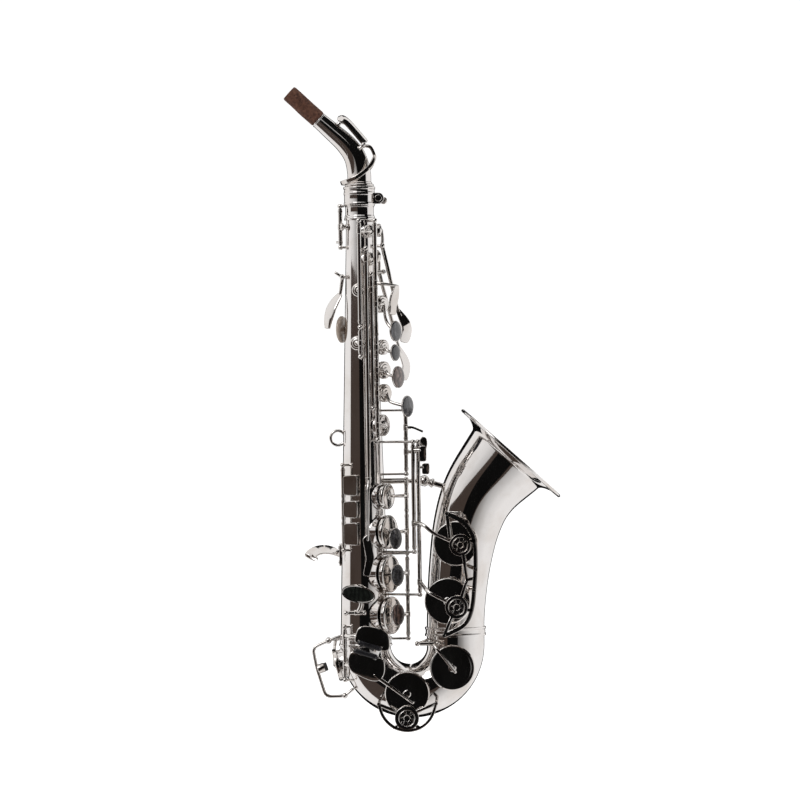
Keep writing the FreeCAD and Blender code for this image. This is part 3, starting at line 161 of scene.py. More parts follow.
@dataclass(frozen=True)
class SilverPlate(Finish):
    """Silver plate buffed to a mirror, with wiping marks and a trace of tarnish."""

    name: str
    bright: Colour
    tarnished: Colour
    gloss: float
    dull: float
    ripple: float            # depth of the buffing waves, metres

    def mix(self) -> bpy.types.Material:
        """Lay the nodes."""
        sheet = NodeSheet(self.name)
        clouds = sheet.noise(38.0, 4.0)
        wiped = sheet.noise(150.0, 5.0, 0.7, sheet.stretched((1.0, 1.0, 0.22)))
        colour = sheet.shade(clouds, [(0.25, self.tarnished), (0.52, self.bright), (1.0, self.bright)])
        waves = sheet.relief(sheet.noise(55.0, 2.0), self.ripple)
        hairs = sheet.relief(sheet.noise(2600.0, 2.0, 0.6, sheet.stretched((1.0, 1.0, 0.12))), 0.0000012,
                             waves)
        return sheet.wear(Base_Color=colour, Metallic=1.0,
                          Roughness=sheet.spread(wiped, self.gloss, self.dull), Normal=hairs)


@dataclass(frozen=True)
class GroundSteel(Finish):
    """Ground steel of the pivot rods and screws, brushed round and faintly blued."""

    name: str
    pale: Colour
    deep: Colour
    gloss: float

    def mix(self) -> bpy.types.Material:
        """Lay the nodes."""
        sheet = NodeSheet(self.name)
        rings = sheet.noise(900.0, 3.0, 0.6, sheet.stretched((0.3, 0.3, 3.0)))
        colour = sheet.shade(rings, [(0.3, self.deep), (0.7, self.pale)])
        return sheet.wear(Base_Color=colour, Metallic=1.0,
                          Roughness=sheet.spread(rings, self.gloss, self.gloss + 0.16),
                          Normal=sheet.relief(rings, 0.000004))


@dataclass(frozen=True)
class Cork(Finish):
    """Greased sheet cork: warm brown grain with dark pores and pale flecks."""

    name: str = "neck_cork_brown"
    dark: Colour = (0.030, 0.012, 0.008)
    warm: Colour = (0.115, 0.048, 0.030)
    pale: Colour = (0.22, 0.105, 0.065)

    def mix(self) -> bpy.types.Material:
        """Lay the nodes."""
        sheet = NodeSheet(self.name)
        grain = sheet.noise(420.0, 6.0, 0.68)
        patches = sheet.noise(120.0, 3.0)
        pores = sheet.spread(sheet.spots(330.0), 0.0, 1.0, 0.10, 0.34)
        mixed = sheet.new("Mix")
        mixed.data_type = "RGBA"
        mixed.blend_type = "MULTIPLY"
        mixed.inputs["Factor"].default_value = 0.85
        tone = sheet.shade(grain, [(0.28, self.dark), (0.5, self.warm), (0.78, self.pale)])
        holes = sheet.shade(pores, [(0.0, (0.16, 0.12, 0.10)), (0.55, (1.0, 1.0, 1.0))])
        sheet.tree.links.new(tone, mixed.inputs[6])
        sheet.tree.links.new(holes, mixed.inputs[7])
        deep = sheet.relief(pores, 0.00025)
        return sheet.wear(Base_Color=mixed.outputs[2], Roughness=sheet.spread(patches, 0.55, 0.85),
                          Normal=sheet.relief(grain, 0.00012, deep), Specular_IOR_Level=0.3)


@dataclass(frozen=True)
class Nacre(Finish):
    """Mother of pearl: banded layers under a clear polished skin."""

    name: str
    deep: Colour
    middle: Colour
    glint: Colour

    def mix(self) -> bpy.types.Material:
        """Lay the nodes."""
        sheet = NodeSheet(self.name)
        swirl = sheet.noise(170.0, 3.0, 0.5, sheet.stretched((1.0, 1.0, 1.6)))
        bands = sheet.new("TexWave", Vector=sheet.place, Scale=95.0, Distortion=7.0, Detail=3.0)
        bands.inputs["Detail Scale"].default_value = 1.4
        layers = sheet.new("Math", Value=swirl)
        layers.operation = "MULTIPLY"
        sheet.tree.links.new(bands.outputs["Fac"], layers.inputs[1])
        colour = sheet.shade(layers.outputs[0], [(0.05, self.deep), (0.32, self.middle), (0.62, self.glint)])
        return sheet.wear(Base_Color=colour, Roughness=sheet.spread(swirl, 0.16, 0.34), Coat_Weight=0.8,
                          Coat_Roughness=0.05, Metallic=0.15, Sheen_Weight=0.12,
                          Normal=sheet.relief(swirl, 0.00002))


@dataclass(frozen=True)
class Hide(Finish):
    """Kid leather of the pads: fine creased grain over a waxed surface."""

    name: str = "pad_kid_leather"
    deep: Colour = (0.055, 0.028, 0.016)
    worn: Colour = (0.20, 0.115, 0.065)

    def mix(self) -> bpy.types.Material:
        """Lay the nodes."""
        sheet = NodeSheet(self.name)
        creases = sheet.spots(1500.0)
        clouds = sheet.noise(260.0, 4.0)
        return sheet.wear(Base_Color=sheet.shade(clouds, [(0.3, self.deep), (0.75, self.worn)]),
                          Roughness=sheet.spread(clouds, 0.38, 0.62), Normal=sheet.relief(creases, 0.00006),
                          Specular_IOR_Level=0.4)


@dataclass(frozen=True)
class Nap(Finish):
    """Felt and cork bumpers: short fibres, no shine."""

    name: str = "bumper_felt"
    deep: Colour = (0.006, 0.006, 0.007)
    tips: Colour = (0.050, 0.046, 0.044)

    def mix(self) -> bpy.types.Material:
        """Lay the nodes."""
        sheet = NodeSheet(self.name)
        fibres = sheet.noise(3200.0, 5.0, 0.75)
        return sheet.wear(Base_Color=sheet.shade(fibres, [(0.35, self.deep), (0.7, self.tips)]),
                          Roughness=sheet.spread(fibres, 0.8, 1.0), Sheen_Weight=0.35,
                          Normal=sheet.relief(fibres, 0.00012))


@dataclass(frozen=True)
class Resin(Finish):
    """Cast resin of the thumb rest and the rollers: deep colour, clouded, hand polished."""

    name: str
    deep: Colour
    cloud: Colour

    def mix(self) -> bpy.types.Material:
        """Lay the nodes."""
        sheet = NodeSheet(self.name)
        clouds = sheet.noise(210.0, 4.0, 0.6)
        return sheet.wear(Base_Color=sheet.shade(clouds, [(0.3, self.deep), (0.75, self.cloud)]),
                          Roughness=sheet.spread(clouds, 0.14, 0.30), Coat_Weight=0.4, Coat_Roughness=0.08,
                          Normal=sheet.relief(clouds, 0.00002))


TUBE_SILVER = SilverPlate("silver_tube_mirror", (0.84, 0.815, 0.80), (0.72, 0.67, 0.63), 0.025, 0.085,
                          0.000012)
KEY_SILVER = SilverPlate("silver_key_mirror", (0.80, 0.77, 0.745), (0.60, 0.54, 0.49), 0.035, 0.12, 0.000008)
ROD_STEEL = GroundSteel("pivot_steel", (0.70, 0.70, 0.71), (0.50, 0.50, 0.52), 0.16)
CORK = Cork()
LEATHER = Hide()
FELT = Nap()
REST_RESIN = Resin("thumb_rest_resin_brown", (0.36, 0.27, 0.21), (0.58, 0.50, 0.43))
ROLLER_RESIN = Resin("roller_resin_black", (0.006, 0.006, 0.007), (0.028, 0.028, 0.032))


class Pearl(Enum):
    """The shades of the seven finger pearls and of the trill touch's inlay."""

    SMOKE = Nacre("pearl_smoke", (0.012, 0.012, 0.016), (0.038, 0.038, 0.045), (0.13, 0.13, 0.145))
    UMBER = Nacre("pearl_umber", (0.040, 0.024, 0.020), (0.10, 0.066, 0.058), (0.26, 0.19, 0.17))
    NIGHT = Nacre("pearl_night", (0.003, 0.003, 0.005), (0.010, 0.010, 0.014), (0.06, 0.06, 0.07))
    RUSSET = Nacre("pearl_russet", (0.020, 0.008, 0.006), (0.055, 0.026, 0.018), (0.17, 0.10, 0.08))
    MOSS = Nacre("pearl_moss", (0.004, 0.005, 0.004), (0.008, 0.010, 0.008), (0.018, 0.023, 0.018))


class Slot(Enum):
    """The record's material slots."""

    TUBE = "silver_tube"
    KEYS = "silver_keys"
    STEEL = "steel"
    CORK = "cork"
    PEARL = "pearl"
    REST = "thumb_rest_resin"
    ROLLER = "roller_resin"


SLOT_FINISH: dict[str, Finish] = {Slot.TUBE.value: TUBE_SILVER, Slot.KEYS.value: KEY_SILVER,
                                  Slot.STEEL.value: ROD_STEEL, Slot.CORK.value: CORK,
                                  Slot.PEARL.value: Pearl.SMOKE.value, Slot.REST.value: REST_RESIN,
                                  Slot.ROLLER.value: ROLLER_RESIN}


# ---- points, paths and outlines ----
Path = list[Vector]


def vec(x: float, y: float, z: float) -> Vector:
    """Point or direction from its three parts."""
    return Vector((x, y, z))


def polar(angle: float, r: float) -> Vector:
    """Point of a circle in the XY plane, angle in radians."""
    return vec(math.cos(angle) * r, math.sin(angle) * r, 0.0)


def square_to(axis: Vector) -> tuple[Vector, Vector]:
    """Two unit vectors square to an axis and to each other."""
    side = axis.orthogonal().normalized()
    return side, axis.normalized().cross(side)


def flat(points: list[tuple[float, float]], y: float) -> Path:
    """Points given as x, z put in the plane at this y."""
    return [vec(x, y, z) for x, z in points]


def eased(points: Path, radius: float, closed: bool = False, steps: int = 4) -> Path:
    """Round the corners of a path.

    Args:
        points: the path's corners.
        radius: how far from a corner the bend starts, at most.
        closed: whether the path joins up.
        steps: points laid on each bend.

    Returns:
        The path with a smooth bend at each corner.
    """
    count = len(points)
    path: Path = []
    for i, corner in enumerate(points):
        if not closed and i in (0, count - 1):
            path.append(corner.copy())
            continue
        before = points[i - 1] - corner
        after = points[(i + 1) % count] - corner
        a = corner + before.normalized() * min(radius, before.length * 0.48)
        b = corner + after.normalized() * min(radius, after.length * 0.48)
        for k in range(steps + 1):
            t = k / steps
            path.append(a * (1 - t) ** 2 + corner * (2 * t * (1 - t)) + b * t ** 2)
    return path


def through(points: Path, steps: int = 8, closed: bool = False) -> Path:
    """Smooth curve that passes through every point."""
    count = len(points)
    spans = count if closed else count - 1
    path: Path = []
    for i in range(spans):
        p1, p2 = points[i], points[(i + 1) % count]
        p0 = points[i - 1] if closed or i else p1 * 2 - p2
        p3 = points[(i + 2) % count] if closed or i + 2 < count else p2 * 2 - p1
        for k in range(steps):
            t = k / steps
            path.append(0.5 * (p1 * 2 + (p2 - p0) * t + (p0 * 2 - p1 * 5 + p2 * 4 - p3) * t ** 2
                               + (p1 * 3 - p0 - p2 * 3 + p3) * t ** 3))
    if not closed:
        path.append(points[-1].copy())
    return path


def section_round(r: float, sides: int = 16) -> list[tuple[float, float]]:
    """Round section."""
    return [(math.cos(TURN * k / sides) * r, math.sin(TURN * k / sides) * r) for k in range(sides)]


def section_oblong(width: float, thick: float, edge: float) -> list[tuple[float, float]]:
    """Rectangular section with rounded edges, width across the path and thick along its up direction."""
    w, t = width / 2, thick / 2
    corners = [vec(w, -t, 0), vec(w, t, 0), vec(-w, t, 0), vec(-w, -t, 0)]
    return [(p.x, p.y) for p in eased(corners, edge, closed=True, steps=3)]


def section_leaf(width: float, thick: float, arch: float) -> list[tuple[float, float]]:
    """Finger leaf in section: hollow below, crowned above, with full rounded edges."""
    top = [vec(width / 2 * math.cos(math.pi * k / 8), arch * math.sin(math.pi * k / 8) + thick / 2, 0)
           for k in range(9)]
    low = [vec(p.x * 0.92, p.y - thick, 0) for p in reversed(top)]
    return [(p.x, p.y) for p in eased(top + low, thick * 0.4, closed=True, steps=2)]


def carried(path: Path, up: Vector | None, closed: bool) -> list[tuple[Vector, Vector, Vector]]:
    """Direction, side and lift at each point of a path.

    Args:
        path: the points.
        up: direction that the lift follows, or None to carry the side along without twist.
        closed: whether the path joins up.

    Returns:
        One (along, side, lift) of unit vectors for each point.
    """
    frames = []
    side = None
    last = len(path) - 1
    for i in range(len(path)):
        before = path[i - 1] if closed else path[max(i - 1, 0)]
        after = path[(i + 1) % len(path)] if closed else path[min(i + 1, last)]
        along = (after - before).normalized()
        if up is not None:
            side = up.cross(along).normalized()
        elif side is None:
            side = along.orthogonal().normalized()
        else:
            side = (side - along * side.dot(along)).normalized()
        frames.append((along, side, along.cross(side)))
    return frames


# ---- pieces ----
class Piece:
    """One visual piece being made: closed shells that ride together on one CAD body."""

    def __init__(self, name: str, finish: Finish = KEY_SILVER) -> None:
        """Start an empty piece in this finish."""
        self.name = name
        self.mesh = bmesh.new()
        self.finishes = [finish]
        self.index = 0

    def use(self, finish: Finish) -> Piece:
        """Dress what is made next in this finish."""
        if finish not in self.finishes:
            self.finishes.append(finish)
        self.index = self.finishes.index(finish)
        return self

    def skin(self, loops: list[Path], wrap: bool = False) -> None:
        """Join loops of equal length by faces, and close the ends unless the loops wrap round."""
        rows = [[self.mesh.verts.new(p) for p in loop] for loop in loops]
        pairs = list(zip(rows, rows[1:]))
        if wrap:
            pairs.append((rows[-1], rows[0]))
        faces = []
        for low, high in pairs:
            for i in range(len(low)):
                j = (i + 1) % len(low)
                faces.append(self.mesh.faces.new((low[i], low[j], high[j], high[i])))
        if not wrap:
            faces.append(self.mesh.faces.new(rows[0][::-1]))
            faces.append(self.mesh.faces.new(rows[-1]))
        for face in faces:
            face.material_index = self.index

    def lathe(self, profile: list[tuple[float, float]], at: Vector, axis: Vector, sides: int = 48,
              ease: float = 0.0) -> Piece:
        """Turn a profile round an axis.

        Args:
            profile: (radius, height) corners; a profile that starts and ends on the axis gives a solid, any
                other is joined up into a ring.
            at: where height 0 is.
            axis: direction of the height.
            sides: facets round the axis.
            ease: rounding of the profile's corners.

        Returns:
            The piece itself.
        """
        solid = profile[0][0] < 0.001 and profile[-1][0] < 0.001
        corners = [vec(r, h, 0) for r, h in profile]
        if ease:
            corners = eased(corners, ease, closed=not solid, steps=3)
        up = axis.normalized()
        u, v = square_to(up)
        loops = []
        for corner in corners:
            r = max(corner.x, 0.015)
            loops.append([at + up * corner.y
                          + (u * math.cos(TURN * k / sides) + v * math.sin(TURN * k / sides)) * r
                          for k in range(sides)])
        self.skin(loops, wrap=not solid)
        return self

    def sweep(self, path: Path, section: list[tuple[float, float]], scales: list[float] | None = None,
              up: Vector | None = None, dome: float = 0.0, closed: bool = False) -> Piece:
        """Draw a section along a path.

        Args:
            path: the points.
            section: (across, up) corners of the section.
            scales: size of the section at each point.
            up: direction that the section's up follows.
            dome: length of the rounded ends.
            closed: whether the path joins up.

        Returns:
            The piece itself.
        """
        frames = carried(path, up, closed)
        scales = scales or [1.0] * len(path)
        stations = list(zip(path, frames, scales))
        if dome and not closed:
            head, tail = stations[0], stations[-1]
            for k in (1, 2, 3):
                a = math.radians(28.0 * k)
                reach, size = dome * math.sin(a), math.cos(a)
                stations.insert(0, (head[0] - head[1][0] * reach, head[1], head[2] * size))
                stations.append((tail[0] + tail[1][0] * reach, tail[1], tail[2] * size))
        loops = [[p + side * (a * s) + lift * (b * s) for a, b in section] for p, (_, side, lift),
                 s in stations]
        self.skin(loops, wrap=closed)
        return self

    def rod(self, p: Vector, q: Vector, r1: float, r2: float | None = None, sides: int = 20) -> Piece:
        """Straight round bar, tapering to a second radius, with softened ends."""
        end = r1 if r2 is None else r2
        path = [p.lerp(q, t) for t in (0.0, 0.5, 1.0)]
        scales = [1.0, (r1 + end) / 2 / r1, end / r1]
        return self.sweep(path, section_round(r1, sides), scales, dome=min(r1, end) * 0.35)

    def bent(self, points: Path, r1: float, r2: float | None = None, bend: float = 5.0, sides: int = 20
             ) -> Piece:
        """Round bar bent through the points, tapering to a second radius."""
        path = eased(points, bend, steps=6)
        end = r1 if r2 is None else r2
        last = len(path) - 1
        scales = [1.0 + (end / r1 - 1.0) * k / last for k in range(last + 1)]
        return self.sweep(path, section_round(r1, sides), scales, dome=min(r1, end) * 0.8)

    def ball(self, at: Vector, r: float, axis: Vector = Z, sides: int = 32) -> Piece:
        """Turned ball."""
        half = [(r * math.cos(math.pi * (k / 16 - 0.5)), r * math.sin(math.pi * (k / 16 - 0.5)))
                for k in range(17)]
        return self.lathe([(0.0, -r)] + half[1:-1] + [(0.0, r)], at, axis, sides)

    def ring(self, at: Vector, axis: Vector, r: float, section: list[tuple[float, float]], sides: int = 96
             ) -> Piece:
        """Ring of this section round an axis."""
        u, v = square_to(axis)
        path = [at + (u * math.cos(TURN * k / sides) + v * math.sin(TURN * k / sides)) * r
                for k in range(sides)]
        return self.sweep(path, section, up=axis, closed=True)

    def plate(self, outline: Path, out: Vector, thick: float, edge: float = 0.4, crown: float = 0.0) -> Piece:
        """Plate with rounded edges.

        Args:
            outline: the closed outline, lying in the plate's back face.
            out: direction from the back to the front.
            thick: thickness.
            edge: rounding of the front and back edges.
            crown: how far the middle stands above the front edge, or sinks below it when negative.

        Returns:
            The piece itself.
        """
        count = len(outline)
        area = vec(0, 0, 0)
        for i in range(count):
            area += outline[i - 1].cross(outline[i])
        turn = 1.0 if area.dot(out) > 0 else -1.0
        inward = []
        for i in range(count):
            along = (outline[(i + 1) % count] - outline[i - 1]).normalized()
            inward.append(out.cross(along) * turn)
        loops = []
        for k in range(4):
            a = math.radians(30.0 * k)
            loops.append([p + n * (edge * (1 - math.sin(a))) + out * (edge * (1 - math.cos(a))) for p,
                          n in zip(outline, inward)])
        for k in range(4):
            a = math.radians(30.0 * k)
            loops.append([p + n * (edge * (1 - math.cos(a))) + out * (thick - edge * (1 - math.sin(a))) for p,
                          n in zip(outline, inward)])
        if crown:
            middle = sum(loops[-1], vec(0, 0, 0)) / count
            rim = loops[-1]
            for s in (0.9, 0.75, 0.5, 0.25, 0.04):
                loops.append([middle + (p - middle) * s + out * (crown * (1 - s * s)) for p in rim])
        self.skin(loops)
        return self

    def place(self, body: str, slot: Slot, *nodes: str) -> bpy.types.Object:
        """Finish the mesh in metres, hang it on its body and let it stand for CAD nodes.

        Args:
            body: the CAD body that the piece rides on.
            slot: the record's material slot; not used.
            nodes: CAD nodes that it stands for.

        Returns:
            The finished object.
        """
        bmesh.ops.recalc_face_normals(self.mesh, faces=self.mesh.faces)
        bmesh.ops.scale(self.mesh, vec=(MM, MM, MM), verts=self.mesh.verts)
        crisp_edges(self.mesh)
        data = bpy.data.meshes.new(self.name)
        self.mesh.to_mesh(data)
        self.mesh.free()
        for finish in self.finishes:
            data.materials.append(finish.material())
        made = bpy.data.objects.new(self.name, data)
        bpy.context.scene.collection.objects.link(made)
        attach(made, body)
        if nodes:
            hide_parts(*nodes)
        LOG.info("%s: %d faces on %s", self.name, len(data.polygons), body)
        return made


def crisp_edges(mesh: bmesh.types.BMesh) -> None:
    """Shade every face smooth and keep the sharp edges crisp."""
    for face in mesh.faces:
        face.smooth = True
    for edge in mesh.edges:
        if len(edge.link_faces) == 2 and edge.calc_face_angle(0.0) > SHARP:
            edge.smooth = False


@dataclass(frozen=True)
class Bore:
    """A round hole: where it starts, its direction, radius and length."""

    at: Vector
    out: Vector
    r: float
    length: float


def bare_object(piece: Piece) -> bpy.types.Object:
    """A piece's mesh as a plain object, still in millimetres, for cutting."""
    bmesh.ops.recalc_face_normals(piece.mesh, faces=piece.mesh.faces)
    data = bpy.data.meshes.new(piece.name)
    piece.mesh.to_mesh(data)
    piece.mesh.free()
    made = bpy.data.objects.new(piece.name, data)
    bpy.context.scene.collection.objects.link(made)
    return made


def carve(piece: Piece, tool: Piece) -> None:
    """Cut a tool's shape out of a piece.

    Args:
        piece: what is cut.
        tool: closed shells to take away.
    """
    work, knife = bare_object(piece), bare_object(tool)
    cut = work.modifiers.new("cut", "BOOLEAN")
    cut.operation = "DIFFERENCE"
    cut.solver = "EXACT"
    cut.object = knife
    result = bpy.data.meshes.new_from_object(work.evaluated_get(bpy.context.evaluated_depsgraph_get()))
    piece.mesh = bmesh.new()
    piece.mesh.from_mesh(result)
    for spent in (work, knife):
        data = spent.data
        bpy.data.objects.remove(spent)
        bpy.data.meshes.remove(data)
    bpy.data.meshes.remove(result)


def drill(piece: Piece, bores: list[Bore]) -> None:
    """Cut round holes out of a piece."""
    tool = Piece("drill")
    for bore in bores:
        tool.lathe([(0, 0), (bore.r, 0), (bore.r, bore.length), (0, bore.length)], bore.at, bore.out, 48)
    carve(piece, tool)


# ---- what the whole instrument shares ----
@dataclass(frozen=True)
class Gauge:
    """Driving dimensions of the tubes and the key work, and the places worked out from them."""

    axis_x: float = 17.3         # body tube axis
    body_r0: float = 13.65       # outer radius of the body tube at z = 0
    slope: float = 0.0272        # radius lost per millimetre upwards
    body_top: float = 154.0
    body_bottom: float = -146.0
    wall: float = 0.8
    bow_x: float = 48.8
    bow_z: float = -146.0
    bow_r: float = 31.5
    bow_in: float = 17.6
    bow_out: float = 20.2
    rim_h: float = 1.9           # height of a drawn tone hole
    pad_gap: float = 0.2
    cup_h: float = 3.0
    tube_r: float = 1.45
    bore_r: float = 0.80
    rod_r: float = 0.75
    ball_r: float = 1.75
    upper: float = -32.0         # angle that the left hand's cups face
    lower: float = -35.0         # angle that the right hand's cups face

    def body_r(self, z: float) -> float:
        """Outer radius of the conical body at this height."""
        return self.body_r0 - self.slope * z

    def radial(self, angle: float) -> Vector:
        """Unit vector away from the body's axis, angle in degrees from the bell side."""
        return polar(math.radians(angle), 1.0)

    def tangent(self, angle: float) -> Vector:
        """Unit vector along the body's surface."""
        return polar(math.radians(angle + 90.0), 1.0)

    def around(self, angle: float, distance: float, z: float) -> Vector:
        """Point at this angle, distance from the axis and height."""
        return vec(self.axis_x, 0, z) + self.radial(angle) * distance

    def seat(self, angle: float, z: float) -> Vector:
        """Where a closed cup's skirt stands, just clear of its tone hole."""
        return self.around(angle, self.body_r(z) + self.rim_h + self.pad_gap, z)

    def bow_point(self, turn: float) -> Vector:
        """Point of the U bend's centreline; turn runs from 0 at the body to 180 at the bell."""
        a = math.radians(180.0 + turn)
        return vec(self.bow_x + self.bow_r * math.cos(a), 0, self.bow_z + self.bow_r * math.sin(a))

    def bow_tube_r(self, turn: float) -> float:
        """Outer radius of the bow at this turn."""
        return self.bow_in + (self.bow_out - self.bow_in) * turn / 180.0


GAUGE = Gauge()


class Hinges:
    """Places of the pivots and how far they turn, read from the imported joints."""

    def __init__(self, joints: list[dict]) -> None:
        """Keep the joints by name."""
        self.joints = {joint["name"]: joint for joint in joints}

    def point(self, name: str) -> Vector:
        """The joint's own point, millimetres."""
        return Vector(self.joints[name]["pos_m"]) / MM

    def at(self, name: str, z: float) -> Vector:
        """Point of an upright pivot at this height."""
        p = self.point(name)
        return vec(p.x, p.y, z)

    def tube(self, piece: Piece, name: str, low: float, high: float) -> None:
        """Hinge tube of an upright joint between two heights."""
        hinge_tube(piece, self.at(name, low), self.at(name, high))

    def full_turn(self, name: str) -> Matrix:
        """Turn from closed back through the joint's full travel."""
        joint = self.joints[name]
        return Matrix.Rotation(-math.radians(joint["range_deg"][1]), 3, Vector(joint["axis"]))

    def stand_open(self, piece: Piece, name: str) -> None:
        """Open what was drawn with the cup closed."""
        bmesh.ops.rotate(piece.mesh, cent=self.point(name), matrix=self.full_turn(name), verts=piece.mesh.verts)

    def opened(self, p: Vector, name: str) -> Vector:
        """Where a point of a closed key stands when the key is open."""
        return self.point(name) + self.full_turn(name) @ (p - self.point(name))


def cup_shell(piece: Piece, at: Vector, out: Vector, r: float, crown: float = 0.4) -> None:
    """Stamped pad cup: skirt, rounded shoulder, shallow step and crown, with its leather pad below.

    Args:
        piece: the key that the cup belongs to.
        at: centre of the skirt's edge.
        out: direction away from the tone hole.
        r: outer radius.
        crown: height of the raised middle, or 0 for a plain flat cup.
    """
    wall = 0.6
    top = GAUGE.cup_h
    if crown:
        face = [(r - 0.7, top), (0.66 * r, top + 0.02), (0.60 * r, top + crown),
                (0.3 * r, top + crown + 0.06)]
    else:
        face = [(r - 0.7, top), (r - 1.3, top - 0.14), (0.8 * r, top - 0.02), (0.4 * r, top + 0.10)]
    shell = [(0, 1.7), (r - wall, 1.7), (r - wall, 0.12), (r - 0.42, 0), (r - 0.12, 0), (r, 0.14), (r, 2.2)]
    end = face[-1][1] + 0.03
    piece.lathe(shell + face + [(0, end)], at, out, 72, ease=0.28)
    finish = piece.finishes[piece.index]
    piece.use(LEATHER).lathe([(0, 0.35), (0.55 * r, 0.30), (r - 1.9, 0.10), (r - 1.1, 0.16), (r - 0.72, 0.6),
                              (r - 0.66, 1.66), (0, 1.66)], at, out, 48, ease=0.2)
    piece.use(finish).lathe([(0, 0.02), (0.26 * r, 0.06), (0.40 * r, 0.22), (0.42 * r, 0.34), (0, 0.34)], at,
                            out, 32, ease=0.1)


def hinge_tube(piece: Piece, low: Vector, high: Vector) -> None:
    """Hinge tube bored for its rod, with chamfered ends and a sleeve near each."""
    r, bore = GAUGE.tube_r, GAUGE.bore_r
    length = (high - low).length
    along = (high - low) / length
    piece.lathe([(bore, 0), (r - 0.15, 0), (r, 0.15), (r, length - 0.15), (r - 0.15, length), (bore, length)],
                low, along, 32)
    if length > 12.0:
        for h in (1.2, length - 2.6):
            piece.lathe([(r - 0.05, h), (r + 0.22, h + 0.15), (r + 0.22, h + 1.25), (r - 0.05, h + 1.4)], low,
                        along, 32)


def arm_root(piece: Piece, at: Vector, axis: Vector = Z) -> None:
    """Sleeve where an arm is soldered to its hinge tube."""
    r = GAUGE.tube_r
    piece.lathe([(r - 0.05, -2.1), (r + 0.30, -1.8), (r + 0.30, 1.8), (r - 0.05, 2.1)], at, axis, 32)


def arm_foot(piece: Piece, at: Vector, out: Vector, r: float = 2.3) -> None:
    """Small turned button where an arm ends on a cup's crown."""
    piece.lathe([(0, -0.6), (r, -0.6), (r, -0.15), (r * 0.7, 0.45), (0, 0.7)], at, out, 32, ease=0.15)


# ---- tubes ----
@dataclass
class Chimney:
    """Drawn tone hole: its foot flows out of the tube and its top is turned to a bead."""

    top: Vector
    out: Vector
    r: float

    def bore(self) -> Bore:
        """The hole that it needs in the tube."""
        return Bore(self.top - self.out * 9.0, self.out, self.r - 0.55, 10.0)

    def stand(self, piece: Piece, surface: BVHTree, sides: int = 72) -> None:
        """Grow it out of the tube's surface.

        Args:
            piece: the tube.
            surface: the tube's outer surface before its holes were cut.
            sides: facets round the hole.
        """
        u, v = square_to(self.out)
        foot = [(1.5, -0.12), (0.95, 0.05), (0.5, 0.28), (0.18, 0.62), (0.0, 1.05)]
        top = [(0.0, 0.42), (0.14, 0.26), (0.14, 0.10), (0.02, 0.0), (-0.3, 0.0), (-0.5, 0.08), (-0.6, 0.3)]
        loops: list[Path] = [[] for _ in range(len(foot) + len(top) + 1)]
        for k in range(sides):
            spoke = u * math.cos(TURN * k / sides) + v * math.sin(TURN * k / sides)
            depths = []
            for grow, rise in foot:
                start = self.top + spoke * (self.r + grow) + self.out * 6.0
                hit = surface.ray_cast(start, -self.out, 40.0)
                depth = (hit[3] if hit[3] is not None else 10.0) - 6.0
                depths.append(depth)
                loops[len(depths) - 1].append(start - self.out * (6.0 + max(depth - rise, 0.5)))
            for i, (grow, down) in enumerate(top):
                loops[len(foot) + i].append(self.top + spoke * (self.r + grow) - self.out * down)
            inner = self.top + spoke * (self.r - 0.6) - self.out * (depths[-1] + GAUGE.wall * 0.8)
            loops[-1].append(inner)
        piece.skin(loops, wrap=True)


def tube_shell(piece: Piece, path: Path, aims: Path, radii: list[float], wall: float, sides: int = 128
               ) -> None:
    """Curved tube in the XZ plane as a closed shell with an inner and an outer wall.

    Args:
        piece: what it is added to.
        path: centreline.
        aims: direction of the tube at each point.
        radii: outer radius at each point.
        wall: thickness.
        sides: facets round the tube.
    """
    outer, inner = [], []
    for p, aim, r in zip(path, aims, radii):
        side = Y.cross(aim).normalized()
        spokes = [side * math.cos(TURN * k / sides) + Y * math.sin(TURN * k / sides) for k in range(sides)]
        outer.append([p + s * r for s in spokes])
        inner.append([p + s * (r - wall) for s in spokes])
    piece.skin(outer + inner[::-1], wrap=True)


@dataclass(frozen=True)
class CupKey:
    """A cup key on an upright rod."""

    name: str
    joint: str
    low: float
    high: float
    angle: float
    cup_z: float
    cup_r: float
    closed_at_rest: bool = False
    dip: float = 0.0             # angle where the arm dips under its neighbour, 0 for a straight arm


CUP_KEYS = (CupKey("b_key", "b_press", 70.2, 105.8, GAUGE.upper, 93.0, 6.2),
            CupKey("bis_key", "bis_press", 55.3, 69.9, GAUGE.upper, 63.0, 5.4),
            CupKey("a_key", "a_press", 38.3, 55.0, GAUGE.upper, 47.0, 6.2),
            CupKey("g_key", "g_press", 18.0, 38.0, GAUGE.upper, 31.0, 6.4),
            CupKey("g_sharp_key", "g_sharp_press", 0.3, 17.7, GAUGE.upper, 8.5, 7.6, True),
            CupKey("f_sharp_cup_key", "f_sharp_cup_press", -53.2, -31.3, GAUGE.lower, -41.0, 9.2),
            CupKey("f_key", "f_press", -79.2, -53.5, GAUGE.lower, -66.0, 12.0),
            CupKey("e_key", "e_press", -109.2, -83.8, GAUGE.lower, -95.0, 13.2),
            CupKey("d_key", "d_press", -139.2, -109.5, GAUGE.lower, -124.0, 13.2),
            CupKey("high_e_cup_key", "high_e_cup_press", 79.2, 149.4, -62.0, 144.0, 4.6, True),
            CupKey("side_bb_cup_key", "side_bb_cup_press", 58.4, 74.8, -100.0, 66.0, 5.0, True),
            CupKey("side_c_cup_key", "side_c_cup_press", 22.3, 112.2, -95.0, 103.0, 4.8, True, -68.0),
            CupKey("high_f_sharp_key", "high_f_sharp_press", -32.4, 130.0, -62.0, 124.5, 4.8, True))


@dataclass(frozen=True)
class PalmKey:
    """A palm key that rocks in a radial plane."""

    name: str
    body: str
    angle: float
    cup_z: float
    cup_r: float
    touch_z: float
    touch_d: float


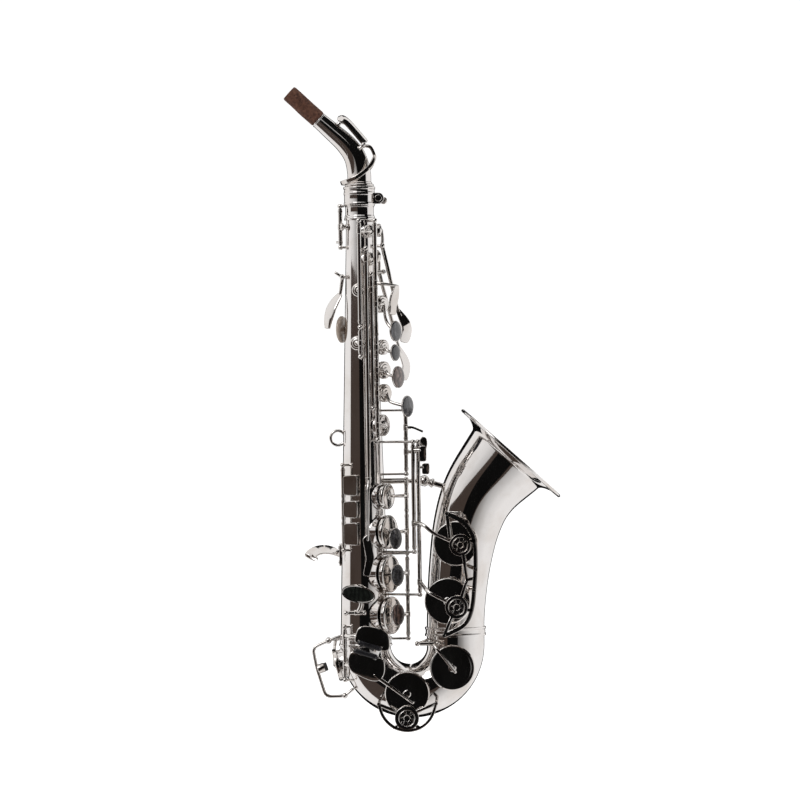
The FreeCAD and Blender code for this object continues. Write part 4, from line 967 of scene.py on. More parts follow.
PALM_KEYS = (PalmKey("palm_f_key", "palm_f", 2.0, 145.0, 4.6, 77.0, 30.5),
             PalmKey("palm_eb_key", "palm_eb", 36.0, 127.0, 4.6, 51.0, 37.0),
             PalmKey("palm_d_key", "palm_d", 80.0, 112.0, 4.8, 60.0, 30.0))


@dataclass(frozen=True)
class FlatCup:
    """A large flat cup that faces the instrument's right-hand side."""

    x: float
    z: float
    r: float
    seat: float

    def skirt(self) -> Vector:
        """Centre of the skirt's edge when the key is closed."""
        return vec(self.x, -self.seat - GAUGE.pad_gap, self.z)

    def crown_y(self) -> float:
        """Level of the arm over the cup."""
        return -self.seat - GAUGE.pad_gap - GAUGE.cup_h - 0.6

    def chimney(self) -> Chimney:
        """The tone hole below it."""
        return Chimney(vec(self.x, -self.seat, self.z), -Y, self.r - 1.6)


LOW_B = FlatCup(82.0, -74.0, 15.6, 24.6)
LOW_BB = FlatCup(76.5, -114.0, 16.2, 22.8)
LOW_EB = FlatCup(77.5, -160.5, 15.8, 21.6)
LOW_C = FlatCup(46.5, -178.0, 15.6, 20.8)


@dataclass
class ConeBody:
    """The straight conical body with its drawn tone holes and the octave pip."""

    pip_angle: float = -160.0
    pip_z: float = 147.5
    pip_h: float = 2.6

    def chimneys(self) -> list[Chimney]:
        """Every tone hole of the body."""
        holes = []
        for key in CUP_KEYS:
            top = GAUGE.around(key.angle, GAUGE.body_r(key.cup_z) + GAUGE.rim_h, key.cup_z)
            holes.append(Chimney(top, GAUGE.radial(key.angle), key.cup_r - 1.3))
        for key in PALM_KEYS:
            top = GAUGE.around(key.angle, GAUGE.body_r(key.cup_z) + GAUGE.rim_h, key.cup_z)
            holes.append(Chimney(top, GAUGE.radial(key.angle), key.cup_r - 1.2))
        return holes

    def build(self) -> None:
        """Turn the cone, cut its holes and draw the chimneys."""
        piece = Piece("body_tube_silver", TUBE_SILVER)
        rows = 40
        heights = [GAUGE.body_bottom + (GAUGE.body_top - GAUGE.body_bottom) * k / rows
                   for k in range(rows + 1)]
        outer = [(GAUGE.body_r(z), z) for z in heights]
        inner = [(r - GAUGE.wall, z) for r, z in reversed(outer)]
        piece.lathe(outer + inner, vec(GAUGE.axis_x, 0, 0), Z, 128)
        surface = BVHTree.FromBMesh(piece.mesh)
        holes = self.chimneys()
        drill(piece, [hole.bore() for hole in holes])
        for hole in holes:
            hole.stand(piece, surface)
        out = GAUGE.radial(self.pip_angle)
        foot = GAUGE.around(self.pip_angle, GAUGE.body_r(self.pip_z) - 0.5, self.pip_z)
        piece.lathe([(0.8, 0), (2.4, 0), (2.2, 0.9), (1.6, 1.3), (1.6, self.pip_h + 0.3),
                     (1.4, self.pip_h + 0.5), (0.8, self.pip_h + 0.5)], foot, out, 32, ease=0.15)
        piece.place("instrument", Slot.TUBE, "body_tube")


@dataclass
class Bow:
    """The U bend with its three tone holes and the two banded joints."""

    sharp_turn: float = 14.0
    sharp_r: float = 11.5

    def sharp_out(self) -> Vector:
        """Direction that the low C sharp hole faces."""
        return (GAUGE.bow_point(self.sharp_turn) - vec(GAUGE.bow_x, 0, GAUGE.bow_z)).normalized()

    def sharp_seat(self) -> Vector:
        """Centre of the low C sharp hole's top."""
        return GAUGE.bow_point(self.sharp_turn) + self.sharp_out() * (GAUGE.bow_tube_r(self.sharp_turn) + 1.9)

    def build(self) -> None:
        """Bend the tube and band its ends."""
        piece = Piece("bow_tube_silver", TUBE_SILVER)
        turns = [180.0 * k / 72 for k in range(73)]
        aims = [polar(math.radians(270.0 + t), 1.0) for t in turns]
        aims = [vec(a.x, 0, a.y) for a in aims]
        tube_shell(piece, [GAUGE.bow_point(t) for t in turns], aims, [GAUGE.bow_tube_r(t) for t in turns],
                   GAUGE.wall)
        surface = BVHTree.FromBMesh(piece.mesh)
        holes = [LOW_EB.chimney(), LOW_C.chimney(),
                 Chimney(self.sharp_seat(), self.sharp_out(), self.sharp_r - 1.5)]
        drill(piece, [hole.bore() for hole in holes])
        for hole in holes:
            hole.stand(piece, surface, 96)
        piece.place("instrument", Slot.TUBE, "bow_tube")
        bands = Piece("bow_joint_bands", TUBE_SILVER)
        for x, z, bore, out in ((GAUGE.axis_x, GAUGE.bow_z + 0.3, GAUGE.bow_in + 0.04, 1.16),
                                (GAUGE.bow_x + GAUGE.bow_r, GAUGE.bow_z + 6.6, GAUGE.bow_out + 0.3, 1.0)):
            bands.lathe([(bore, 0), (bore + out, 0), (bore + out, 1.5), (bore + out * 0.45, 1.9),
                         (bore + out * 0.45, 4.6), (bore + out, 5.0), (bore + out, 6.4), (bore, 6.4)],
                        vec(x, 0, z), Z, 128, ease=0.3)
        bands.place("instrument", Slot.TUBE, "bow_rings")


@dataclass
class Bell:
    """The bell: a widening tube, its curled mouth and the wire in its edge."""

    axis: tuple = ((80.3, -146.0, 20.2), (80.8, -122.0, 20.3), (83.6, -92.0, 21.4), (89.0, -63.0, 23.4),
                   (98.0, -40.0, 26.0))
    mouth: tuple[float, float] = (121.0, -12.0)
    faces: tuple[float, float] = (0.674, 0.739)
    throat_back: float = 6.4
    throat_r: float = 30.7
    mouth_r: float = 44.9
    wire_r: float = 1.1

    def out(self) -> Vector:
        """Direction that the mouth faces."""
        return vec(self.faces[0], 0, self.faces[1]).normalized()

    def centre(self) -> Vector:
        """Centre of the mouth."""
        return vec(self.mouth[0], 0, self.mouth[1])

    def build(self) -> None:
        """Sweep the tube, curl the mouth and roll the edge."""
        out, mouth = self.out(), self.centre()
        points = [vec(x, 0, z) for x, z, r in self.axis] + [mouth - out * self.throat_back]
        radii = [r for x, z, r in self.axis] + [self.throat_r]
        aims = [(points[i + 1] - points[i - 1]).normalized() for i in range(1, len(points) - 1)]
        aims = [Z.copy()] + aims + [out]
        path = through(points, 12)
        aims = [a.normalized() for a in through(aims, 12)]
        sizes = [p.x for p in through([vec(r, 0, 0) for r in radii], 12)]
        steps = 20
        for k in range(1, steps + 1):
            a = math.radians(90.0 * k / steps)
            sizes.append(self.mouth_r - (self.mouth_r - self.throat_r) * math.cos(a) ** 1.35)
            path.append(points[-1] + out * ((self.throat_back - 0.6) * math.sin(a) ** 1.1))
            aims.append(out)
        piece = Piece("bell_tube_silver", TUBE_SILVER)
        tube_shell(piece, path, aims, sizes, GAUGE.wall * 0.75, 160)
        surface = BVHTree.FromBMesh(piece.mesh)
        holes = [LOW_B.chimney(), LOW_BB.chimney()]
        drill(piece, [hole.bore() for hole in holes])
        for hole in holes:
            hole.stand(piece, surface, 96)
        piece.place("instrument", Slot.TUBE, "bell_tube")
        rim = Piece("bell_rim_wire", TUBE_SILVER)
        rim.ring(mouth - out * 0.4, out, self.mouth_r, section_round(self.wire_r, 20), 180)
        rim.place("instrument", Slot.TUBE, "bell_rim")


# ---- neck ----
@dataclass
class Receiver:
    """Socket on top of the body: banded sleeve, split clamp, lugs and the thumbscrew."""

    bottom: float = 152.0
    screw: tuple[float, float] = (30.6, 167.4)
    screw_r: float = 1.5

    def build(self) -> None:
        """Turn the sleeve, split it and fit the lugs and the screw."""
        at = vec(GAUGE.axis_x, 0, self.bottom)
        piece = Piece("neck_receiver_silver", TUBE_SILVER)
        bands = [(9.62, 0), (10.6, 0), (10.9, 0.6), (10.9, 1.6), (10.5, 2.0), (10.5, 3.0), (10.0, 3.6),
                 (10.0, 9.2), (10.5, 9.6), (10.5, 10.4), (11.0, 10.8), (11.0, 12.2), (10.7, 12.5),
                 (10.7, 17.6), (11.0, 17.9), (11.0, 19.6), (10.7, 19.9), (10.7, 21.6), (11.2, 22.0),
                 (11.2, 23.2), (10.9, 23.6), (8.55, 23.6), (8.55, 2.2), (9.62, 2.2)]
        piece.lathe(bands, at, Z, 96, ease=0.18)
        x, z = self.screw
        for y in (0.5, -3.3):
            nose = [vec(x + 3.7 * math.cos(a), y, z + 3.9 * math.sin(a))
                    for a in [math.radians(80.0 - 16.0 * k) for k in range(11)]]
            lug = [vec(GAUGE.axis_x + 9.4, y, z - 3.9)] + nose[::-1] + [vec(GAUGE.axis_x + 9.4, y, z + 3.9)]
            piece.plate(lug, Y, 2.8, 0.4)
        slot = Piece("slot")
        low, high = vec(GAUGE.axis_x + 11.0, 0, self.bottom + 9.6), vec(GAUGE.axis_x + 11.0, 0, 178.0)
        slot.sweep([low, high], [(-6.0, -0.5), (6.0, -0.5), (6.0, 0.5), (-6.0, 0.5)], up=Y)
        carve(piece, slot)
        drill(piece, [Bore(vec(x, -8.0, z), Y, self.screw_r + 0.05, 16.0)])
        piece.place("instrument", Slot.TUBE, "neck_receiver")
        self.thumbscrew()

    def thumbscrew(self) -> None:
        """Slotted collar, shank and the oval wing."""
        x, z = self.screw
        piece = Piece("neck_thumbscrew")
        piece.lathe([(0, 0), (2.2, 0), (2.4, 0.3), (2.4, 1.4), (1.5, 1.6), (1.5, 9.0), (2.4, 9.1),
                     (2.4, 10.2), (1.8, 10.5), (1.4, 12.6), (1.6, 13.8), (0, 13.8)], vec(x, -5.4, z), Y, 40,
                    ease=0.2)
        for way in (-1, 1):
            lobe = vec(x + 3.5 * way, 10.0, z - 1.2 * way)
            piece.lathe([(0, 0), (2.1, 0), (2.6, 0.35), (2.6, 0.9), (2.0, 1.5), (1.1, 1.25), (0, 1.3)], lobe,
                        -Y, 40, ease=0.15)
            piece.rod(vec(x, 9.6, z), lobe, 1.0)
        piece.place("clamp_screw", Slot.KEYS, "neck_screw")


@dataclass
class Neck:
    """The curved neck: tenon, collar, bent cone, cork, saddle and octave key."""

    line: tuple = ((17.3, 176.4, 8.5), (17.2, 186.0, 8.2), (14.4, 197.0, 7.7), (8.0, 206.0, 7.1),
                   (-1.2, 214.5, 6.4), (-10.5, 222.8, 5.75))
    tip: tuple[float, float] = (-0.73, 0.684)
    tenon: float = 17.8
    cork_length: float = 28.0
    cork_r: float = 6.2
    seat_r: float = 4.9
    saddle: tuple[float, float] = (20.6, 204.6)
    saddle_half: float = 3.6
    pip_foot: float = 5.9
    loop: tuple = ((4.9, 0.0, 178.2), (8.4, -9.6, 179.0), (17.0, -12.9, 182.6), (25.0, -9.4, 189.4),
                   (28.6, 0.0, 196.6), (25.0, 9.4, 189.4), (17.0, 12.9, 182.6), (8.4, 9.6, 179.0))

    def out(self) -> Vector:
        """Direction of the mouthpiece end."""
        return vec(self.tip[0], 0, self.tip[1]).normalized()

    def cork_foot(self) -> Vector:
        """Where the cork starts."""
        return vec(self.line[-1][0], 0, self.line[-1][1])

    def build(self) -> None:
        """Bend the cone and dress it."""
        self.tube()
        self.cork()
        self.saddle_posts()
        self.octave_key()

    def pip(self) -> tuple[Vector, Vector]:
        """Foot and direction of the octave pip on the neck's crown."""
        along = vec(self.line[5][0] - self.line[3][0], 0, self.line[5][1] - self.line[3][1]).normalized()
        out = vec(along.z, 0, -along.x)
        return vec(self.line[4][0], 0, self.line[4][1]) + out * self.pip_foot, out

    def tube(self) -> None:
        """Tube, tenon, collar, stop ring and pip."""
        piece = Piece("neck_tube_silver", TUBE_SILVER)
        points = [vec(x, 0, z) for x, z, r in self.line]
        aims = [Z.copy()] + [(points[i + 1] - points[i - 1]).normalized() for i in range(1, len(points) - 1)]
        aims.append(self.out())
        path = through(points, 14)
        ways = [a.normalized() for a in through(aims, 14)]
        sizes = [p.x for p in through([vec(r, 0, 0) for x, z, r in self.line], 14)]
        tube_shell(piece, path, ways, sizes, GAUGE.wall, 96)
        foot = vec(GAUGE.axis_x, 0, self.line[0][1])
        r = self.line[0][2]
        piece.lathe([(r, 0.2), (r, -self.tenon + 0.6), (r - 0.4, -self.tenon), (r - GAUGE.wall, -self.tenon),
                     (r - GAUGE.wall, 0.2)], foot, Z, 96)
        piece.lathe([(r - 0.2, -0.5), (9.9, -0.5), (10.2, -0.2), (10.2, 0.7), (9.8, 1.1), (9.0, 1.2),
                     (9.0, 2.2), (r - 0.3, 2.8)], foot, Z, 96, ease=0.15)
        end, out = self.cork_foot(), self.out()
        piece.lathe([(4.6, -1.2), (5.75, -1.2), (6.0, -0.9), (6.0, -0.3), (5.7, 0), (4.6, 0)], end, out, 64,
                    ease=0.12)
        piece.lathe([(self.seat_r, -0.5), (self.seat_r, self.cork_length - 0.2),
                     (self.seat_r - 0.2, self.cork_length), (self.seat_r - GAUGE.wall, self.cork_length),
                     (self.seat_r - GAUGE.wall, -0.5)], end, out, 64)
        at, up = self.pip()
        piece.lathe([(0.8, -0.6), (2.3, -0.5), (2.0, 0.5), (1.6, 0.9), (1.6, 2.5), (1.4, 2.75), (0.8, 2.75)],
                    at, up, 32, ease=0.15)
        piece.place("neck", Slot.TUBE, "neck_tube")

    def cork(self) -> None:
        """Cork sleeve with a worn, slightly uneven skin, a lapped seam and a chamfered tip."""
        rng = random.Random(7)
        piece = Piece("neck_cork_sleeve", CORK)
        start, out = self.cork_foot(), self.out()
        u, v = square_to(out)
        sides, rows = 72, 26
        length = self.cork_length - 0.35
        loops = []
        for k in range(rows + 1):
            h = 0.35 + length * k / rows
            edge = min(1.0, (k + 0.55) / 1.4, (rows - k + 0.5) / 1.6)
            loop = []
            for s in range(sides):
                a = TURN * s / sides
                seam = -0.12 * math.exp(-((s - 50) / 1.1) ** 2)
                r = self.cork_r - 0.22 + 0.55 * (edge - 1.0) + seam + rng.uniform(-0.06, 0.06)
                r += 0.07 * math.sin(3 * a + 0.35 * k) - 0.05 * math.cos(2 * a - 0.2 * k)
                loop.append(start + out * h + (u * math.cos(a) + v * math.sin(a)) * r)
            loops.append(loop)
        bore = [[start + out * h
                 + (u * math.cos(TURN * s / sides) + v * math.sin(TURN * s / sides)) * (self.seat_r + 0.02)
                 for s in range(sides)] for h in (0.35 + length, 0.35)]
        piece.skin(loops + bore, wrap=True)
        piece.place("neck", Slot.CORK, "neck_cork")

    def saddle_posts(self) -> None:
        """Two little posts that carry the octave key, with their pin."""
        piece = Piece("neck_saddle_posts")
        head = vec(self.saddle[0], 0, self.saddle[1])
        for side in (-1, 1):
            top = head + Y * side * (self.saddle_half + 1.7)
            foot = vec(14.9, side * 3.6, 199.4)
            piece.rod(foot, top, 1.3, 0.95)
            piece.ball(top, GAUGE.ball_r, Y)
        piece.use(ROD_STEEL).rod(head - Y * 7.0, head + Y * 7.0, GAUGE.rod_r)
        piece.place("neck", Slot.KEYS, "neck_saddle")

    def octave_key(self) -> None:
        """Lever over the neck's crown, its pad, and the loop that circles the tenon."""
        piece = Piece("neck_octave_lever")
        at, out = self.pip()
        seat = at + out * 2.95
        head = vec(self.saddle[0], 0, self.saddle[1])
        piece.lathe([(0, 0.5), (2.2, 0.5), (2.2, 0.1), (2.7, 0.1), (2.7, 1.8), (2.2, 2.3), (0, 2.5)], seat,
                    out, 40, ease=0.2)
        piece.use(LEATHER).lathe([(0, 0.02), (2.0, 0.02), (2.15, 0.5), (0, 0.5)], seat, out, 32, ease=0.08)
        piece.use(KEY_SILVER)
        crest = seat + out * 1.7
        lever = through([crest + vec(-2.6, 0, 1.4), crest + vec(2.0, 0, -0.2),
                         crest.lerp(head + vec(1.2, 0, 1.6), 0.55) + vec(0.6, 0, 0.6),
                         head + vec(1.0, 0, 1.7)], 8)
        widths = [0.62 + 0.38 * math.sin(math.pi * min(k / 12.0, 0.5)) for k in range(len(lever))]
        piece.sweep(lever, section_leaf(8.6, 1.3, 1.0), widths, up=vec(0.56, -0.52, 0.66), dome=0.6)
        hinge_tube(piece, head - Y * self.saddle_half, head + Y * self.saddle_half)
        loop = through([Vector(p) for p in self.loop], 14, closed=True)
        piece.sweep(loop, section_oblong(1.2, 3.0, 0.5), up=vec(-0.3, 0, 0.95), closed=True)
        piece.bent([head + vec(1.0, 0, -0.2), vec(26.0, 0, 203.6), vec(28.6, 0, 196.6)], 1.25, 1.1, bend=4.0)
        piece.place("octave_ring", Slot.KEYS, "neck_octave_key")


# ---- keys on the long rods ----
@dataclass(frozen=True)
class FingerPearl:
    """A finger pearl at rest: its key, centre of its back, radius and shade."""

    key: str
    x: float
    y: float
    z: float
    r: float
    shade: Pearl


PEARLS = (FingerPearl("b_key", 41.0, -14.8, 74.0, 6.8, Pearl.SMOKE),
          FingerPearl("bis_key", 40.5, -14.5, 59.0, 5.4, Pearl.NIGHT),
          FingerPearl("a_key", 42.3, -15.6, 42.0, 7.2, Pearl.UMBER),
          FingerPearl("g_key", 48.5, -17.0, 21.5, 7.0, Pearl.SMOKE),
          FingerPearl("f_key", 38.9, -15.2, -70.5, 7.0, Pearl.NIGHT),
          FingerPearl("e_key", 39.8, -15.8, -96.0, 7.2, Pearl.NIGHT),
          FingerPearl("d_key", 39.8, -15.8, -123.5, 7.2, Pearl.RUSSET))


@dataclass
class StackKeys:
    """Cup keys of both hands with their finger pearls, and the side cups worked from above."""

    hinges: Hinges
    arm_root_r: float = 1.35
    arm_tip_r: float = 1.0
    arm_arch: float = 0.7

    def build(self) -> None:
        """Make each key, then its pearl."""
        for key in CUP_KEYS:
            self.key(key)
        for pearl in PEARLS:
            self.pearl(pearl)

    def key(self, key: CupKey) -> None:
        """One cup key at rest."""
        piece = Piece(key.name + "_work")
        out = GAUGE.radial(key.angle)
        seat = GAUGE.seat(key.angle, key.cup_z)
        crown = seat + out * (GAUGE.cup_h + 0.55)
        cup_shell(piece, seat, out, key.cup_r, 0.4 if key.cup_r < 7.0 else 0.0)
        self.hinges.tube(piece, key.joint, key.low, key.high)
        root = self.hinges.at(key.joint, min(max(key.cup_z, key.low + 2.0), key.high - 2.0))
        middle = root.lerp(crown, 0.5) + out * self.arm_arch
        if key.dip:
            middle = GAUGE.around(key.dip, 16.4, key.cup_z)
        piece.bent([root, middle, crown], self.arm_root_r, self.arm_tip_r, bend=4.0)
        arm_root(piece, root)
        arm_foot(piece, crown, out, min(2.4, key.cup_r * 0.36))
        if not key.closed_at_rest:
            self.hinges.stand_open(piece, key.joint)
        for pearl in PEARLS:
            if pearl.key == key.name:
                self.tray(piece, key, pearl, self.hinges.opened(crown, key.joint))
        if key.name == "high_f_sharp_key":
            self.spatula(piece, key)
        piece.place(key.name.removesuffix("_key"), Slot.KEYS, key.name)

    def facing(self, key: str) -> Vector:
        """Direction that a key's pearl faces."""
        return GAUGE.radial(GAUGE.lower if key in ("f_key", "e_key", "d_key") else GAUGE.upper)

    def tray(self, piece: Piece, key: CupKey, pearl: FingerPearl, cup_top: Vector) -> None:
        """Rimmed tray of a pearl and the stalk that joins it to the cup."""
        out = self.facing(key.name)
        at = vec(pearl.x, pearl.y, pearl.z)
        r = pearl.r
        piece.lathe([(0, -0.95), (r - 1.4, -0.95), (r - 0.2, -0.5), (r + 0.55, 0.1), (r + 0.55, 0.75),
                     (r + 0.3, 0.95), (r + 0.03, 0.9), (r + 0.03, 0.0), (0, 0.0)], at, out, 72, ease=0.14)
        knee = vec(cup_top.x, cup_top.y, cup_top.z * 0.35 + pearl.z * 0.65) + out * 1.6
        piece.bent([at - out * 0.7, knee, cup_top], 1.1, 1.1, bend=4.0)

    def pearl(self, pearl: FingerPearl) -> None:
        """The polished disc itself, crowned with a softened edge."""
        piece = Piece(pearl.key.replace("_key", "_pearl_disc"), pearl.shade.value)
        r = pearl.r
        dome = [(r * math.sin(a), 0.95 + math.cos(a))
                for a in [math.radians(90.0 - 6.0 * k) for k in range(1, 15)]]
        piece.lathe([(0, 0.02), (r - 0.02, 0.02), (r - 0.02, 0.8)] + dome + [(0, 1.96)],
                    vec(pearl.x, pearl.y, pearl.z), self.facing(pearl.key), 72)
        piece.place(pearl.key.removesuffix("_key"), Slot.PEARL, pearl.key.replace("_key", "_pearl"))

    def spatula(self, piece: Piece, key: CupKey) -> None:
        """Long stepped touch of the high F sharp, in front of the right-hand face."""
        corners = [(20.6, -66.5), (16.4, -70.0), (18.8, -84.0), (16.4, -95.3), (21.0, -96.6), (24.6, -84.0),
                   (22.0, -69.0)]
        piece.plate(eased(flat(corners, -24.3), 1.4, closed=True), -Y, 1.3, 0.35)
        piece.bent([self.hinges.at(key.joint, -29.5), vec(20.9, -24.9, -33.0), vec(20.2, -24.9, -71.0)], 1.2,
                   1.0)
        arm_root(piece, self.hinges.at(key.joint, -29.5))


@dataclass
class PalmWork:
    """The three palm keys and the front F key."""

    hinges: Hinges
    half: float = 3.5
    width: float = 9.0
    bar_r: float = 1.0           # radius of the bar over the cup
    cant: float = 1.15           # how far the leaves lean towards the right-hand face

    def build(self) -> None:
        """Make the rocking keys, then the teardrop of the front F."""
        for key in PALM_KEYS:
            self.key(key)
        self.front_f()

    def key(self, key: PalmKey) -> None:
        """One palm key: cup above the pivot, lever and arched leaf below."""
        piece = Piece(key.name + "_work")
        out, side = GAUGE.radial(key.angle), GAUGE.tangent(key.angle)
        seat = GAUGE.seat(key.angle, key.cup_z)
        cup_shell(piece, seat, out, key.cup_r)
        pivot = self.hinges.point(key.body + "_press")
        crown = seat + out * (GAUGE.cup_h + 0.5)
        low = GAUGE.around(key.angle, key.touch_d - 0.7, key.touch_z - 10.2)
        middle = GAUGE.around(key.angle, key.touch_d + 1.1, key.touch_z)
        high = GAUGE.around(key.angle, key.touch_d - 4.7, key.touch_z + 12.0)
        hinge_tube(piece, pivot - side * self.half, pivot + side * self.half)
        piece.bent([crown, crown.lerp(pivot, 0.5) + out * 0.6, pivot], self.bar_r, 1.3)
        arm_foot(piece, crown, out, 1.7)
        piece.bent([pivot, pivot.lerp(high, 0.85), high, high.lerp(middle, 0.35)], 1.4, 1.0, bend=8.0)
        leaf = through([high, middle, low], 10)
        widths = [0.42 + 0.58 * math.sin(math.pi / 2 * min(1.0, k / 11.0)) for k in range(len(leaf))]
        widths[-3:] = [0.97, 0.90, 0.78]
        piece.sweep(leaf, section_leaf(self.width, 1.2, 0.5), widths, up=out - Y * self.cant, dome=0.8)
        piece.place(key.body, Slot.KEYS, key.name)

    def front_f(self) -> None:
        """Teardrop leaf beside the B pearl on its own hinge tube."""
        piece = Piece("front_f_work")
        self.hinges.tube(piece, "front_f_press", 106.1, 149.4)
        root = self.hinges.at("front_f_press", 107.6)
        piece.bent([root, vec(34.0, -19.6, 106.9), vec(42.0, -15.4, 105.6)], 1.25, 0.95)
        arm_root(piece, root)
        leaf = through([vec(42.6, -14.9, 105.4), vec(40.2, -14.9, 95.4), vec(39.3, -14.9, 86.2)], 9)
        widths = [0.55 + 0.45 * math.sin(math.pi * min(1.0, k / 16.0)) for k in range(len(leaf))]
        widths = [max(w, 0.8) if k > 8 else w for k, w in enumerate(widths)]
        piece.sweep(leaf, section_leaf(8.4, 1.2, 0.6), widths, up=vec(0.8, -0.75, -0.1), dome=1.0)
        piece.place("front_f", Slot.KEYS, "front_f_key")


@dataclass(frozen=True)
class SideTouch:
    """A side key's finger plate: its heights and its hinge tube's ends."""

    name: str
    z0: float
    z1: float
    low: float
    high: float


@dataclass
class SideWork:
    """Side key touches on their common rod by the right hand."""

    hinges: Hinges
    touches: tuple = (SideTouch("high_e_touch", -40.5, -25.5, -42.2, -20.6),
                      SideTouch("side_c_touch", -56.0, -43.5, -57.4, -42.5),
                      SideTouch("side_bb_touch", -75.0, -58.7, -76.4, -57.7))
    across: tuple[float, float] = (0.87, -0.493)
    near: float = 0.6
    far: float = 11.8
    thick: float = 1.4

    def build(self) -> None:
        """Make the three plates, each with a raised border round a sunk finger face."""
        side = Vector((*self.across, 0)).normalized()
        out = vec(side.y, -side.x, 0)
        for touch in self.touches:
            piece = Piece(touch.name + "_plate")
            joint = touch.name + "_press"
            foot = self.hinges.at(joint, 0)

            def spot(reach: float, z: float) -> Vector:
                """Point of the plate's back face."""
                return foot + side * reach + vec(0, 0, z)

            outline = [spot(self.near, touch.z0 + 0.8), spot(self.far, touch.z0), spot(self.far, touch.z1),
                       spot(self.near, touch.z1 - 0.8)]
            piece.plate(eased(outline, 2.2, closed=True, steps=6), out, self.thick, 0.45, crown=-0.25)
            self.hinges.tube(piece, joint, touch.low, touch.high)
            piece.place(touch.name, Slot.KEYS, touch.name)


# ---- low keys ----
@dataclass
class LowKeys:
    """The five large cups on bell and bow, their touches and the two rollers."""

    hinges: Hinges
    bow: Bow
    touch_y: float = -25.6
    touch_t: float = 2.2
    roller_r: float = 1.9
    roller_length: float = 17.0
    slope: float = -18.0

    def build(self) -> None:
        """Make every low key."""
        self.low_b()
        self.low_b_flat()
        self.low_e_flat()
        self.e_flat_touch()
        self.low_c()
        self.low_c_sharp()

    def roller_axis(self) -> Vector:
        """Direction of both rollers."""
        a = math.radians(self.slope)
        return vec(math.cos(a), 0, math.sin(a))

    def cup(self, piece: Piece, cup: FlatCup) -> None:
        """A large flat cup facing the right-hand side, with its arm's foot."""
        cup_shell(piece, cup.skirt(), -Y, cup.r, 0.0)
        arm_foot(piece, cup.skirt() - Y * GAUGE.cup_h, -Y, 3.2)

    def low_b(self) -> None:
        """Low B: long tube, bent arm and touch between the body and the bell."""
        piece = Piece("low_b_work")
        y = LOW_B.crown_y()
        root = self.hinges.at("low_b_press", -60.0)
        self.cup(piece, LOW_B)
        self.hinges.tube(piece, "low_b_press", -78.0, -5.0)
        piece.bent([root, vec(59.0, y + 1.0, -60.0), vec(66.0, y, -66.5), vec(81.0, y, -73.5)], 1.4, 1.25)
        arm_root(piece, root)
        leaf = eased(flat([(56.8, -6.0), (61.8, -6.0), (61.8, -17.0), (56.8, -17.0)], -20.2), 1.6,
                     closed=True)
        piece.plate(leaf, -Y, 2.0, 0.5, crown=-0.25)
        link = self.hinges.at("low_b_press", -9.0)
        piece.rod(link, vec(58.0, -21.2, -9.0), 1.2)
        self.hinges.stand_open(piece, "low_b_press")
        piece.place("low_b", Slot.KEYS, "low_b_key")

    def low_b_flat(self) -> None:
        """Low B flat: like the low B, further down the bell."""
        piece = Piece("low_b_flat_work")
        y = LOW_BB.crown_y()
        root = self.hinges.at("low_bb_press", -101.0)
        self.cup(piece, LOW_BB)
        self.hinges.tube(piece, "low_bb_press", -107.9, -5.0)
        piece.bent([root, vec(59.5, -21.5, -104.0), vec(63.0, y, -107.5), vec(75.5, y, -114.0)], 1.4, 1.25)
        arm_root(piece, root)
        leaf = eased(flat([(58.4, -18.2), (63.6, -18.2), (63.6, -26.0), (58.4, -26.0)], -14.6), 1.6,
                     closed=True)
        piece.plate(leaf, -Y, 1.8, 0.5, crown=-0.2)
        piece.rod(self.hinges.at("low_bb_press", -21.0), vec(59.4, -15.6, -21.0), 1.0)
        self.hinges.stand_open(piece, "low_bb_press")
        piece.place("low_bb", Slot.KEYS, "low_bb_key")

    def low_e_flat(self) -> None:
        """Low E flat cup on a short hinge across the bow."""
        piece = Piece("low_e_flat_work")
        y = LOW_EB.crown_y()
        pivot = self.hinges.point("low_eb_open")
        self.cup(piece, LOW_EB)
        hinge_tube(piece, pivot - X * 5.2, pivot + X * 5.2)
        piece.bent([pivot + X * 3.6, vec(66.8, y, -147.0), vec(79.5, y, -163.5)], 1.3, 1.15)
        arm_root(piece, pivot + X * 3.0, X)
        piece.place("low_eb_cup", Slot.KEYS, "low_eb_key")

    def roller(self, name: str, body: str, node: str, at: Vector, joint: str | None) -> None:
        """A barrel roller with turned ends, bored for its pin."""
        piece = Piece(name, ROLLER_RESIN)
        r, length = self.roller_r, self.roller_length
        piece.lathe([(GAUGE.bore_r, 0), (r - 0.5, 0), (r - 0.4, 0.5), (r - 0.06, 1.2), (r, length * 0.5),
                     (r - 0.06, length - 1.2), (r - 0.4, length - 0.5), (r - 0.5, length),
                     (GAUGE.bore_r, length)], at, self.roller_axis(), 40, ease=0.2)
        if joint:
            self.hinges.stand_open(piece, joint)
        piece.place(body, Slot.ROLLER, node)

    def touch(self, piece: Piece, outline: list[tuple[float, float]], roller_at: Vector, bend: float) -> None:
        """Finger plate with the roller's trough cut out of it and the roller's pin.

        Args:
            piece: the key that it belongs to.
            outline: corners of the plate as x, z.
            roller_at: start of the roller.
            bend: rounding of the corners.
        """
        plate = eased(flat(outline, self.touch_y + self.touch_t), bend, closed=True, steps=6)
        piece.plate(plate, -Y, self.touch_t, 0.7)
        axis = self.roller_axis()
        trough = Piece("trough")
        trough.lathe([(0, -0.3), (self.roller_r + 0.35, -0.3),
                      (self.roller_r + 0.35, self.roller_length + 0.3), (0, self.roller_length + 0.3)],
                     roller_at, axis, 32)
        carve(piece, trough)
        piece.rod(roller_at - axis * 1.5, roller_at + axis * (self.roller_length + 1.5), GAUGE.rod_r)

